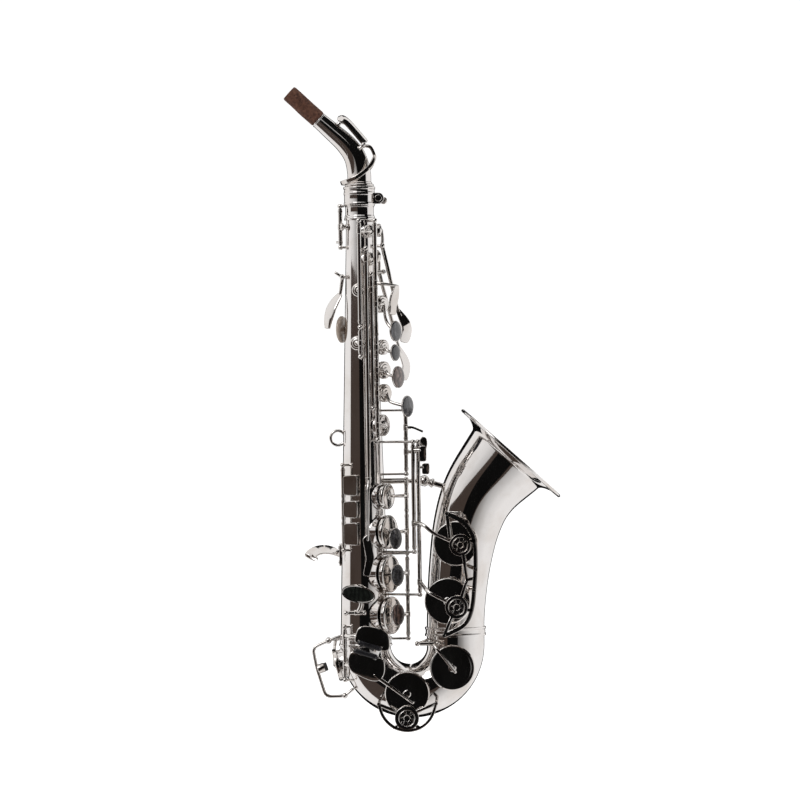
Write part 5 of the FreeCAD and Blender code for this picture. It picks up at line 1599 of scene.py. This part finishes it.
    def e_flat_touch(self) -> None:
        """E flat touch with its roller."""
        piece = Piece("e_flat_touch_plate")
        roller_at = vec(12.2, self.touch_y + 1.3, -141.7)
        self.touch(piece, [(10.4, -137.5), (12.4, -131.2), (18.0, -130.4), (29.6, -132.8), (34.4, -138.0),
                           (34.6, -147.0), (31.4, -148.9), (9.6, -142.0)], roller_at, 3.4)
        root = self.hinges.at("eb_touch_press", -137.5)
        self.hinges.tube(piece, "eb_touch_press", -146.2, -133.2)
        piece.bent([root, vec(8.5, -22.2, -137.8), vec(15.0, -24.0, -137.8)], 1.4, 1.1)
        arm_root(piece, root)
        piece.place("eb_touch", Slot.KEYS, "eb_touch_lever")
        self.roller("e_flat_roller", "eb_roller", "eb_roller", roller_at, None)

    def low_c(self) -> None:
        """Low C: touch, roller, long arm and cup in one piece."""
        piece = Piece("low_c_work")
        y = LOW_C.crown_y()
        roller_at = vec(10.0, self.touch_y + 1.3, -147.3)
        self.touch(piece, [(7.8, -147.2), (31.4, -154.0), (31.6, -163.4), (28.4, -169.0), (21.6, -169.0),
                           (7.6, -162.4), (5.0, -155.6)], roller_at, 3.4)
        root = self.hinges.at("low_c_press", -158.0)
        self.hinges.tube(piece, "low_c_press", -166.6, -146.5)
        piece.bent([root, vec(7.5, -22.2, -158.0), vec(14.0, -24.0, -158.0)], 1.4, 1.1)
        piece.bent([vec(24.0, -24.4, -164.6), vec(30.0, y, -169.0), vec(50.5, y, -184.0)], 1.4, 1.25)
        arm_root(piece, root)
        self.cup(piece, LOW_C)
        self.hinges.stand_open(piece, "low_c_press")
        piece.place("low_c", Slot.KEYS, "low_c_key")
        self.roller("low_c_roller", "c_roller", "c_roller", roller_at, "low_c_press")

    def low_c_sharp(self) -> None:
        """Low C sharp cup on the player's side of the bow."""
        piece = Piece("low_c_sharp_work")
        out = self.bow.sharp_out()
        seat = self.bow.sharp_seat() + out * GAUGE.pad_gap
        crown = seat + out * (GAUGE.cup_h + 0.55)
        pivot = self.hinges.point("low_c_sharp_open")
        cup_shell(piece, seat, out, self.bow.sharp_r, 0.0)
        hinge_tube(piece, pivot - Y * 4.0, pivot + Y * 4.0)
        piece.bent([pivot, vec(crown.x - 0.2, 4.5, -147.0), crown], 1.25, 1.1)
        arm_root(piece, pivot, Y)
        arm_foot(piece, crown - out * 0.4, out, 2.4)
        piece.place("low_c_sharp_cup", Slot.KEYS, "low_c_sharp_key")


@dataclass
class FingerTable:
    """Left little finger's G sharp and C sharp touches, and the right hand's trill touch."""

    hinges: Hinges
    trill_half: float = 4.6
    trill_at: tuple[float, float, float] = (13.0, -24.8, -108.4)
    trill_tilt: float = -12.0

    def build(self) -> None:
        """Make the three touches."""
        self.g_sharp()
        self.c_sharp()
        self.trill()

    def g_sharp(self) -> None:
        """Narrow G sharp touch seen on its edge."""
        piece = Piece("g_sharp_touch_leaf")
        self.hinges.tube(piece, "g_sharp_touch_press", -2.8, 17.0)
        ridge = [vec(48.8, -6.4, 6.7), vec(52.2, -6.4, 6.7), vec(59.2, -6.4, 3.5)]
        piece.sweep(eased(ridge, 3.0), section_leaf(6.0, 1.2, 0.4), up=Z, dome=0.4)
        root = self.hinges.at("g_sharp_touch_press", 6.7)
        piece.rod(root, vec(50.6, -6.0, 6.7), 1.1)
        arm_root(piece, root)
        piece.place("g_sharp_touch", Slot.KEYS, "g_sharp_touch")

    def c_sharp(self) -> None:
        """Leaning C sharp touch."""
        piece = Piece("c_sharp_touch_leaf")
        self.hinges.tube(piece, "c_sharp_touch_press", -24.0, -3.1)
        corners = [(53.0, -9.4), (58.6, 0.6), (62.0, -0.6), (62.6, -5.4), (60.8, -12.0), (54.0, -11.6)]
        piece.plate(eased(flat(corners, -4.2), 1.8, closed=True, steps=5), -Y, 1.8, 0.5, crown=-0.25)
        root = self.hinges.at("c_sharp_touch_press", -10.4)
        piece.rod(root, vec(54.6, -5.0, -10.4), 1.1)
        arm_root(piece, root)
        piece.place("c_sharp_touch", Slot.KEYS, "c_sharp_touch")

    def trill(self) -> None:
        """Oval trill touch with its inlay."""
        piece = Piece("trill_touch_oval")
        tilt = math.radians(self.trill_tilt)
        along = vec(math.cos(tilt), 0, math.sin(tilt))
        across = vec(-along.z, 0, along.x)
        centre = Vector(self.trill_at)

        def oval(a: float, b: float, lift: float) -> Path:
            """Ellipse parallel to the touch's back face."""
            return [centre - Y * lift + along * (a * math.cos(TURN * k / 56))
                    + across * (b * math.sin(TURN * k / 56)) for k in range(56)]

        loops = [oval(11.6, 5.8, 0), oval(11.9, 6.1, 0.3), oval(11.95, 6.15, 1.2), oval(11.7, 5.9, 1.7),
                 oval(11.2, 5.4, 1.78), oval(10.9, 5.1, 1.6), oval(10.85, 5.05, 1.2)]
        piece.skin(loops)
        piece.use(Pearl.MOSS.value).skin([oval(10.8, 5.0, 1.1), oval(10.8, 5.0, 1.45), oval(10.2, 4.4, 1.62),
                                          oval(8.0, 3.4, 1.74), oval(4.0, 1.7, 1.79), oval(0.4, 0.2, 1.8)])
        piece.use(KEY_SILVER)
        pivot = self.hinges.point("trill_press")
        hinge_tube(piece, pivot - X * self.trill_half, pivot + X * self.trill_half)
        piece.bent([pivot + X * 1.6, vec(15.0, -24.6, -116.6), vec(14.6, -24.8, -111.0)], 1.5, 1.2)
        arm_root(piece, pivot + X * 1.6, X)
        piece.place("trill", Slot.KEYS, "trill_key")


@dataclass
class OctaveWork:
    """Octave pip key on the body and the left thumb's hooked lever."""

    hinges: Hinges
    body: ConeBody
    lever_half: float = 4.2
    leaf_width: float = 9.0

    def build(self) -> None:
        """Make the pip key and the lever."""
        piece = Piece("octave_pip_work")
        out = GAUGE.radial(self.body.pip_angle)
        z = self.body.pip_z
        at = GAUGE.around(self.body.pip_angle, GAUGE.body_r(z) + self.body.pip_h + 0.15, z)
        self.hinges.tube(piece, "octave_pip_lift", 135.0, 160.2)
        piece.lathe([(0, 0.45), (2.1, 0.45), (2.1, 0.05), (2.6, 0.05), (2.6, 1.6), (2.2, 2.0), (0, 2.2)], at,
                    out, 40, ease=0.2)
        piece.use(LEATHER).lathe([(0, 0.0), (1.9, 0.0), (2.05, 0.4), (0, 0.4)], at, out, 32, ease=0.08)
        piece.use(KEY_SILVER)
        root = self.hinges.at("octave_pip_lift", z)
        piece.rod(root, at + out * 1.3, 1.2, 0.9)
        arm_root(piece, root)
        tail = self.hinges.at("octave_pip_lift", 137.0)
        piece.rod(tail, tail + vec(-2.6, 3.2, 0), 0.95, 0.8)
        piece.place("octave_pip", Slot.KEYS, "octave_pip_key")
        self.lever()

    def lever(self) -> None:
        """Hooked lever whose leaf curls round the thumb rest."""
        piece = Piece("octave_thumb_leaf")
        pivot = self.hinges.point("octave_thumb")
        hinge_tube(piece, pivot - Y * self.lever_half, pivot + Y * self.lever_half)
        piece.bent([pivot, vec(3.8, 0, 106.0), vec(2.9, 0, 100.4)], 1.35, 1.1)
        leaf = through([vec(3.0, 0, 100.4), vec(-0.4, 0, 95.6), vec(-3.6, 0, 89.6), vec(-5.4, 0, 83.0),
                        vec(-6.2, 0, 77.0)], 6)
        widths = [0.45 + 0.55 * math.sin(math.pi * min(1.0, (k + 1) / (len(leaf) + 1.5)))
                  for k in range(len(leaf))]
        piece.sweep(leaf, section_leaf(self.leaf_width, 1.6, 0.9), widths, up=vec(-0.75, -0.8, 0.35),
                    dome=0.5)
        piece.rod(pivot, vec(-0.4, 0, 115.8), 1.05, 0.95)
        arm_root(piece, pivot, Y)
        piece.place("thumb_lever", Slot.KEYS, "octave_thumb_lever")


# ---- fittings and guards ----
@dataclass
class Fittings:
    """Strap ring, thumb hook, thumb rest and the stay between body and bell."""

    ring_r: float = 5.1
    wire_r: float = 1.0
    rest_angle: float = 160.0
    rest_z: float = 76.0

    def build(self) -> None:
        """Make the four fittings."""
        self.strap_ring()
        self.thumb_hook()
        self.thumb_rest()
        self.brace()

    def strap_ring(self) -> None:
        """Ring on its soldered foot."""
        piece = Piece("strap_ring_wire")
        piece.ring(vec(0, 0, 0), Y, self.ring_r, section_round(self.wire_r, 20), 96)
        foot = eased(flat([(3.9, -6.8), (5.3, -6.8), (5.3, 6.8), (3.9, 6.8), (4.5, 0.0)], -1.4), 0.8,
                     closed=True)
        piece.plate(foot, Y, 2.8, 0.4)
        piece.place("instrument", Slot.TUBE, "strap_ring")

    def thumb_hook(self) -> None:
        """Foot plate with two screws and a curved hook that turns down."""
        piece = Piece("thumb_hook_plate")
        foot = [vec(1.9, y, z) for y, z in ((1.0, -90.0), (7.0, -90.0), (7.0, -74.0), (1.0, -74.0))]
        piece.plate(eased(foot, 2.2, closed=True, steps=6), -X, 2.2, 0.5)
        path = through([vec(1.2, 4.0, -82.0), vec(-6.0, 4.0, -78.9), vec(-13.0, 4.0, -78.4),
                        vec(-18.2, 4.0, -80.4), vec(-20.3, 4.0, -84.2)], 7)
        widths = [0.62 + 0.38 * math.sin(math.pi / 2 * min(1.0, k / 14.0)) for k in range(len(path))]
        piece.sweep(path, section_leaf(10.6, 1.5, 0.25), widths, up=vec(0.1, -0.55, 0.9), dome=0.8)
        for z in (-87.2, -76.8):
            slotted_head(piece, vec(-0.3, 4.0, z), -X, 1.3)
        piece.place("instrument", Slot.KEYS, "thumb_hook")

    def thumb_rest(self) -> None:
        """Crowned resin disc on its stem."""
        piece = Piece("thumb_rest_disc", REST_RESIN)
        out = GAUGE.radial(self.rest_angle)
        at = GAUGE.around(self.rest_angle, GAUGE.body_r(self.rest_z) + 1.6, self.rest_z)
        piece.lathe([(0, 0), (8.6, 0), (9.4, 0.8), (9.4, 1.8), (8.4, 2.6), (5.0, 3.15), (0, 3.35)], at, out,
                    72, ease=0.35)
        piece.use(TUBE_SILVER).lathe([(0, -1.9), (4.0, -1.9), (3.4, -1.2), (3.4, 0.2), (0, 0.2)], at, out, 40,
                                     ease=0.2)
        piece.place("instrument", Slot.REST, "thumb_rest")

    def brace(self) -> None:
        """Turned stay with a ball and collars between body and bell."""
        piece = Piece("bell_brace_stay")
        left, middle, right = vec(28.6, 10, -31.4), vec(60, 10, -31.0), vec(79.8, 10, -36.8)
        run = (middle - left).normalized()
        length = (middle - left).length
        piece.lathe([(0, -1.2), (3.0, -1.2), (2.8, -0.2), (1.9, 0.9), (1.6, 2.2), (1.6, length - 9.0),
                     (2.2, length - 8.8), (2.2, length - 7.6), (1.6, length - 7.4), (1.6, length - 5.6),
                     (2.5, length - 5.3), (2.5, length - 4.2), (1.9, length - 3.6), (0, length - 3.0)], left,
                    run, 48, ease=0.2)
        piece.ball(middle, 4.0, run, 48)
        way = (right - middle).normalized()
        reach = (right - middle).length
        piece.lathe([(0, 3.0), (2.0, 3.4), (2.7, 4.2), (2.7, 5.2), (1.8, 5.5), (1.8, reach * 0.24 - 0.4),
                     (3.0, reach * 0.24), (3.2, reach * 0.24 + 0.5), (3.2, reach * 0.24 + 1.6),
                     (1.9, reach * 0.24 + 2.1), (1.8, reach - 1.6), (2.4, reach - 0.6), (3.0, reach + 0.6),
                     (0, reach + 0.6)], middle, way, 48, ease=0.2)
        piece.place("instrument", Slot.KEYS, "bell_brace")


def slotted_head(piece: Piece, at: Vector, axis: Vector, r: float) -> None:
    """Small cheese-head screw; its slot is a narrow dark groove between two raised halves."""
    u, v = square_to(axis)
    for side in (-1, 1):
        arc = [math.radians(-78.0 + 12.0 * k) for k in range(14)]
        half = [at + u * (side * r * math.cos(a)) + v * (r * math.sin(a)) for a in arc]
        piece.plate(half, axis, 0.55, 0.12)
    piece.lathe([(0, -0.4), (r * 0.98, -0.4), (r * 0.98, 0.12), (0, 0.12)], at, axis, 24)


def star_bumper(piece: Piece, at: Vector, out: Vector, r: float, length: float) -> None:
    """Adjustable felt bumper in a guard ring: silver collar, star-slotted plug and felt below.

    Args:
        piece: the guard that it belongs to.
        at: centre of the ring's front face.
        out: direction away from the cup.
        r: radius of the plug.
        length: how far the felt reaches towards the cup.
    """
    u, v = square_to(out)
    finish = piece.finishes[piece.index]
    piece.lathe([(0, -1.2), (r, -1.2), (r, -0.1), (r - 0.35, 0.1), (r * 0.42, 0.1), (r * 0.36, -0.4),
                 (0, -0.4)], at, out, 48, ease=0.12)
    for k in range(6):
        a = TURN * k / 6
        ray = u * math.cos(a) + v * math.sin(a)
        wing = ray.cross(out).normalized()
        petal = [at + ray * (r * 0.46) + wing * 0.25, at + ray * (r * 0.9) + wing * (r * 0.20),
                 at + ray * (r * 0.9) - wing * (r * 0.20), at + ray * (r * 0.46) - wing * 0.25]
        piece.plate([p + out * 0.02 for p in eased(petal, 0.3, closed=True, steps=2)], out, 0.28, 0.08)
    piece.use(FELT).lathe([(0, -length), (r - 0.8, -length), (r - 0.5, -length + 0.3), (r - 0.5, -1.15),
                           (0, -1.15)], at, out, 40, ease=0.15)
    piece.use(finish)


@dataclass
class Guards:
    """Key guards of bell, bow and the low C sharp cup, with their bumpers."""

    bell_y: float = -36.0
    bow_y: float = -33.2
    thick: float = 1.3

    def build(self) -> None:
        """Make the three guards."""
        self.bell_guard()
        self.bow_guard()
        self.wire_guard()

    def strip(self, piece: Piece, points: list[tuple[float, float]], y: float, width: float) -> None:
        """Flat strip bent along points in the guard's plane."""
        path = eased(flat(points, y + self.thick / 2), 9.0, steps=8)
        piece.sweep(path, section_oblong(width, self.thick, 0.35), up=-Y, dome=0.5)

    def bumper_ring(self, piece: Piece, x: float, z: float, y: float, outer: float, inner: float) -> None:
        """Flat ring with a star bumper screwed into it."""
        piece.lathe([(inner, 0), (outer, 0), (outer, self.thick), (inner, self.thick)],
                    vec(x, y + self.thick, z), -Y, 72, ease=0.3)

    def bell_guard(self) -> None:
        """Plate guard over the two bell cups."""
        piece = Piece("bell_guard_plate")
        y = self.bell_y
        self.strip(piece, [(75.0, -53.0), (88.0, -59.5), (94.6, -72.0), (94.6, -92.0), (92.0, -120.0),
                           (87.0, -131.0), (72.0, -137.5)], y, 3.2)
        for a, b in (((77.0, -70.0), (75.0, -53.0)), ((91.0, -72.0), (94.6, -72.0)),
                     ((86.0, -81.8), (88.5, -99.0)), ((84.4, -111.0), (88.5, -99.0)),
                     ((88.5, -99.0), (94.2, -98.0)), ((88.4, -120.0), (92.0, -120.0)),
                     ((77.6, -124.8), (72.0, -137.5))):
            self.strip(piece, [a, b], y, 2.4)
        for x, z, outer, inner in ((84.0, -75.0, 7.6, 5.4), (81.0, -118.0, 8.0, 5.6)):
            self.bumper_ring(piece, x, z, y, outer, inner)
            star_bumper(piece, vec(x, y + 0.3, z), -Y, inner - 0.05, 2.4)
        for x, z, foot_y, lean in ((75.0, -53.0, -16.0, 1.5), (94.6, -92.0, -16.0, 0),
                                   (93.3, -106.0, -14.0, 0), (72.0, -137.5, -16.0, 1.5)):
            piece.rod(vec(x, y + 0.7, z), vec(x + lean, foot_y, z), 1.2, 1.5)
            slotted_head(piece, vec(x, y + 0.05, z), -Y, 1.25)
        piece.place("instrument", Slot.KEYS, "bell_key_guard")

    def bow_guard(self) -> None:
        """Wire guard over the low C cup with its double ring."""
        piece = Piece("low_c_guard_frame")
        y = self.bow_y
        self.strip(piece, [(26.0, -184.5), (29.0, -194.0), (36.0, -201.0), (45.5, -203.6), (55.0, -201.6),
                           (62.5, -195.0), (66.0, -184.5)], y, 2.2)
        for a, b in (((26.0, -184.5), (38.6, -190.0)), ((66.0, -184.5), (52.4, -190.0)),
                     ((39.0, -200.0), (36.0, -201.0)), ((52.0, -200.0), (55.0, -201.6))):
            self.strip(piece, [a, b], y, 2.2)
        self.bumper_ring(piece, 45.5, -194.6, y, 8.4, 5.6)
        star_bumper(piece, vec(45.5, y + 0.3, -194.6), -Y, 5.55, 2.2)
        for x, z, to in ((26.0, -184.5, vec(27.6, -13.4, -181.0)), (66.0, -184.5, vec(67.0, -14.6, -180.4))):
            piece.rod(vec(x, y + 0.8, z), to, 1.1, 1.3)
            slotted_head(piece, vec(x, y + 0.05, z), -Y, 1.15)
        piece.place("instrument", Slot.KEYS, "low_c_guard")

    def wire_guard(self) -> None:
        """Bent wire with a bumper barrel on the player's side."""
        piece = Piece("low_c_sharp_guard_wire")
        way = [vec(x, -3.0, z) for x, z in ((0.6, -138.4), (-8.5, -141.5), (-19.6, -146.4), (-17.2, -160.0),
                                            (-11.0, -180.6), (2.0, -180.6), (8.0, -175.8))]
        piece.bent(way, 1.15, 1.15, bend=4.0)
        piece.ball(way[1], 2.3, X)
        piece.ball(vec(2.4, -3.0, -180.2), 2.0, X)
        a, b = vec(-16.6, -3.0, -161.6), vec(-9.6, -3.0, -159.4)
        length = (b - a).length
        piece.lathe([(0, 0.1), (2.6, 0.1), (3.25, 0.6), (3.25, length - 2.2), (0, length - 2.2)], a, b - a,
                    40, ease=0.2)
        piece.use(FELT).lathe([(0, length - 2.3), (3.0, length - 2.3), (3.0, length - 0.4), (2.6, length),
                               (0, length)], a, b - a, 40, ease=0.2)
        piece.place("instrument", Slot.KEYS, "low_c_sharp_guard")


# ---- carried-over frame nodes ----
def dress_frame(nodes: dict[str, bpy.types.Object]) -> None:
    """Give every CAD node the finish of its slot, so that those still shown look right."""
    for name, node in nodes.items():
        for index, old in enumerate(node.data.materials):
            slot = old.name.split(".")[0]
            node.data.materials[index] = SLOT_FINISH.get(slot, KEY_SILVER).material()
        LOG.info("%s: dressed", name)


# ---- studio ----
@dataclass
class Studio:
    """Pale round floor and wall, soft light, and the dark flags and cards that the silver mirrors."""

    centre: tuple[float, float, float] = (43.77, 0.0, 25.99)
    distance: float = 3111.0
    roll: float = 0.8
    lens: float = 200.0
    floor_z: float = -300.0
    wall_r: float = 4.5          # metres
    wall_top: float = 3.5
    wall_sides: int = 96

    def build(self) -> None:
        """Lay the floor, hang the lights and set the camera."""
        self.world()
        self.floor()
        dark = (0.004, 0.004, 0.004)
        brown = (0.055, 0.042, 0.036)
        self.flag("near_flag", (-0.085, 0.13), (-0.26, 0.36), -0.35, dark)
        self.flag("low_flag", (-0.15, -0.085), (-0.26, -0.10), -0.35, dark)
        self.flag("right_flag", (0.13, 0.375), (-0.07, 0.36), -0.351, dark)
        self.flag("far_flag", (0.375, 0.90), (-0.03, 0.36), -0.351, dark)
        self.card("upper_card", (16.0, 128.0), (22.0, 68.0), 1.4, dark)
        self.card("edge_card", (-178.0, -146.0), (-60.0, 60.0), 1.2, dark)
        self.card("rim_card", (152.0, 178.0), (-60.0, 60.0), 1.2, dark)
        self.card("side_card", (-76.0, -8.0), (-12.0, 9.0), 1.5, brown)
        self.card("low_card", (-72.0, 12.0), (-62.0, -13.0), 1.6, brown)
        self.lamp("soft_box", (-1.9, -2.6, 2.2), 1.6, 26.0)
        self.camera()

    def world(self) -> None:
        """Soft surround: white behind and above, pale grey in front."""
        world = bpy.data.worlds.new("surround")
        world.use_nodes = True
        tree = world.node_tree
        way = tree.nodes.new("ShaderNodeTexCoord")
        split = tree.nodes.new("ShaderNodeSeparateXYZ")
        ramp = tree.nodes.new("ShaderNodeValToRGB")
        lift = tree.nodes.new("ShaderNodeMapRange")
        tree.links.new(way.outputs["Generated"], split.inputs[0])
        lift.inputs["From Min"].default_value = -1.0
        tree.links.new(split.outputs["Y"], lift.inputs["Value"])
        tree.links.new(lift.outputs["Result"], ramp.inputs["Fac"])
        tree.links.new(ramp.outputs["Color"], tree.nodes["Background"].inputs["Color"])
        stops = ((0.0, 0.14), (0.03, 0.26), (0.10, 0.52), (0.25, 0.78), (0.5, 0.92))
        while len(ramp.color_ramp.elements) < len(stops):
            ramp.color_ramp.elements.new(0.5)
        for element, (spot, grey) in zip(ramp.color_ramp.elements, stops):
            element.position = spot
            element.color = (grey, grey * 0.99, grey * 0.985, 1.0)
        bpy.context.scene.world = world
        bpy.context.scene.view_settings.view_transform = "Standard"

    def floor(self) -> None:
        """Round pale floor that curves up into a wall on every side, behind the instrument in any view."""
        mesh = bmesh.new()
        low = self.floor_z * MM
        sides = self.wall_sides
        section = eased([vec(0.4, 0, low), vec(self.wall_r, 0, low), vec(self.wall_r, 0, self.wall_top)], 0.9,
                        steps=24)
        rows = [[mesh.verts.new(vec(p.x * math.cos(TURN * k / sides), p.x * math.sin(TURN * k / sides), p.z))
                 for k in range(sides)] for p in section]
        mesh.faces.new(rows[0])
        for inner, outer in zip(rows, rows[1:]):
            for k in range(sides):
                mesh.faces.new((inner[k - 1], outer[k - 1], outer[k], inner[k])).smooth = True
        sheet = NodeSheet("paper_sweep")
        grain = sheet.noise(30.0, 3.0)
        paper = sheet.shade(grain, [(0.3, (0.86, 0.86, 0.86)), (0.7, (0.90, 0.90, 0.90))])
        made = self.hang("sweep", mesh, sheet.wear(Base_Color=paper, Roughness=0.9,
                                                   Emission_Color=(1.0, 1.0, 1.0, 1.0),
                                                   Emission_Strength=0.5))
        made.visible_glossy = False

    def flag(self, name: str, across: tuple[float, float], height: tuple[float, float], y: float,
             colour: Colour) -> None:
        """Upright flat card before the instrument that only mirrors see, given in metres."""
        mesh = bmesh.new()
        corners = [(across[0], height[0]), (across[1], height[0]), (across[1], height[1]),
                   (across[0], height[1])]
        mesh.faces.new([mesh.verts.new(vec(x, y, z)) for x, z in corners])
        self.cloth(name, mesh, colour)

    def card(self, name: str, azimuth: tuple[float, float], elevation: tuple[float, float], reach: float,
             colour: Colour) -> None:
        """Part of a sphere round the instrument that only mirrors see.

        Args:
            name: the card's name.
            azimuth: from and to, degrees from -Y towards +X.
            elevation: from and to, degrees above the horizon.
            reach: radius of the sphere in metres.
            colour: what it looks like.
        """
        mesh = bmesh.new()
        steps = 24
        rows = []
        for i in range(steps + 1):
            e = math.radians(elevation[0] + (elevation[1] - elevation[0]) * i / steps)
            row = []
            for k in range(steps + 1):
                a = math.radians(azimuth[0] + (azimuth[1] - azimuth[0]) * k / steps)
                row.append(mesh.verts.new(vec(math.sin(a) * math.cos(e), -math.cos(a) * math.cos(e),
                                              math.sin(e)) * reach))
            rows.append(row)
        for low, high in zip(rows, rows[1:]):
            for k in range(steps):
                mesh.faces.new((low[k], low[k + 1], high[k + 1], high[k])).smooth = True
        self.cloth(name, mesh, colour)

    def cloth(self, name: str, mesh: bmesh.types.BMesh, colour: Colour) -> None:
        """Finish a card in woven cloth and keep it out of every view but the mirrors'."""
        sheet = NodeSheet(name)
        tone = sheet.shade(sheet.noise(60.0, 3.0), [(0.3, colour), (0.7, tuple(c * 1.4 for c in colour))])
        made = self.hang(name, mesh, sheet.wear(Base_Color=tone, Roughness=1.0, Specular_IOR_Level=0.0))
        made.visible_camera = False

    def hang(self, name: str, mesh: bmesh.types.BMesh, material: bpy.types.Material) -> bpy.types.Object:
        """Stage a mesh that takes no light from the instrument and gives it none."""
        data = bpy.data.meshes.new(name)
        mesh.to_mesh(data)
        mesh.free()
        data.materials.append(material)
        made = bpy.data.objects.new(name, data)
        made.visible_diffuse = False
        made.visible_shadow = False
        bpy.context.scene.collection.objects.link(made)
        return made

    def lamp(self, name: str, at: tuple[float, float, float], size: float, power: float) -> None:
        """Soft box that looks at the instrument."""
        data = bpy.data.lights.new(name, "AREA")
        data.size = size
        data.energy = power
        made = bpy.data.objects.new(name, data)
        made.location = at
        made.rotation_euler = (-Vector(at)).to_track_quat("-Z", "Y").to_euler()
        bpy.context.scene.collection.objects.link(made)

    def camera(self) -> None:
        """Camera square to the instrument's right-hand side, leaning as the instrument hangs."""
        data = bpy.data.cameras.new("camera")
        data.lens = self.lens
        data.sensor_width = 36.0
        data.clip_end = 100.0
        made = bpy.data.objects.new("camera", data)
        a = math.radians(self.roll)
        right = vec(math.cos(a), 0, -math.sin(a))
        up = vec(math.sin(a), 0, math.cos(a))
        place = Matrix((right, up, -Y)).transposed().to_4x4()
        place.translation = (Vector(self.centre) - Y * self.distance) * MM
        made.matrix_world = place
        bpy.context.scene.collection.objects.link(made)
        bpy.context.scene.camera = made


def main() -> None:
    """Build the instrument round its frame and light it."""
    logging.basicConfig(level=logging.INFO, format="%(message)s")
    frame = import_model()
    hinges = Hinges(frame["joints"])
    dress_frame(frame["nodes"])
    body, bow = ConeBody(), Bow()
    for part in (body, bow, Bell(), Receiver(), Neck(), StackKeys(hinges), PalmWork(hinges), SideWork(hinges),
                 LowKeys(hinges, bow), FingerTable(hinges), OctaveWork(hinges, body), Fittings(), Guards()):
        LOG.info("building %s", type(part).__name__)
        part.build()
    Studio().build()


if __name__ == "__main__":
    main()
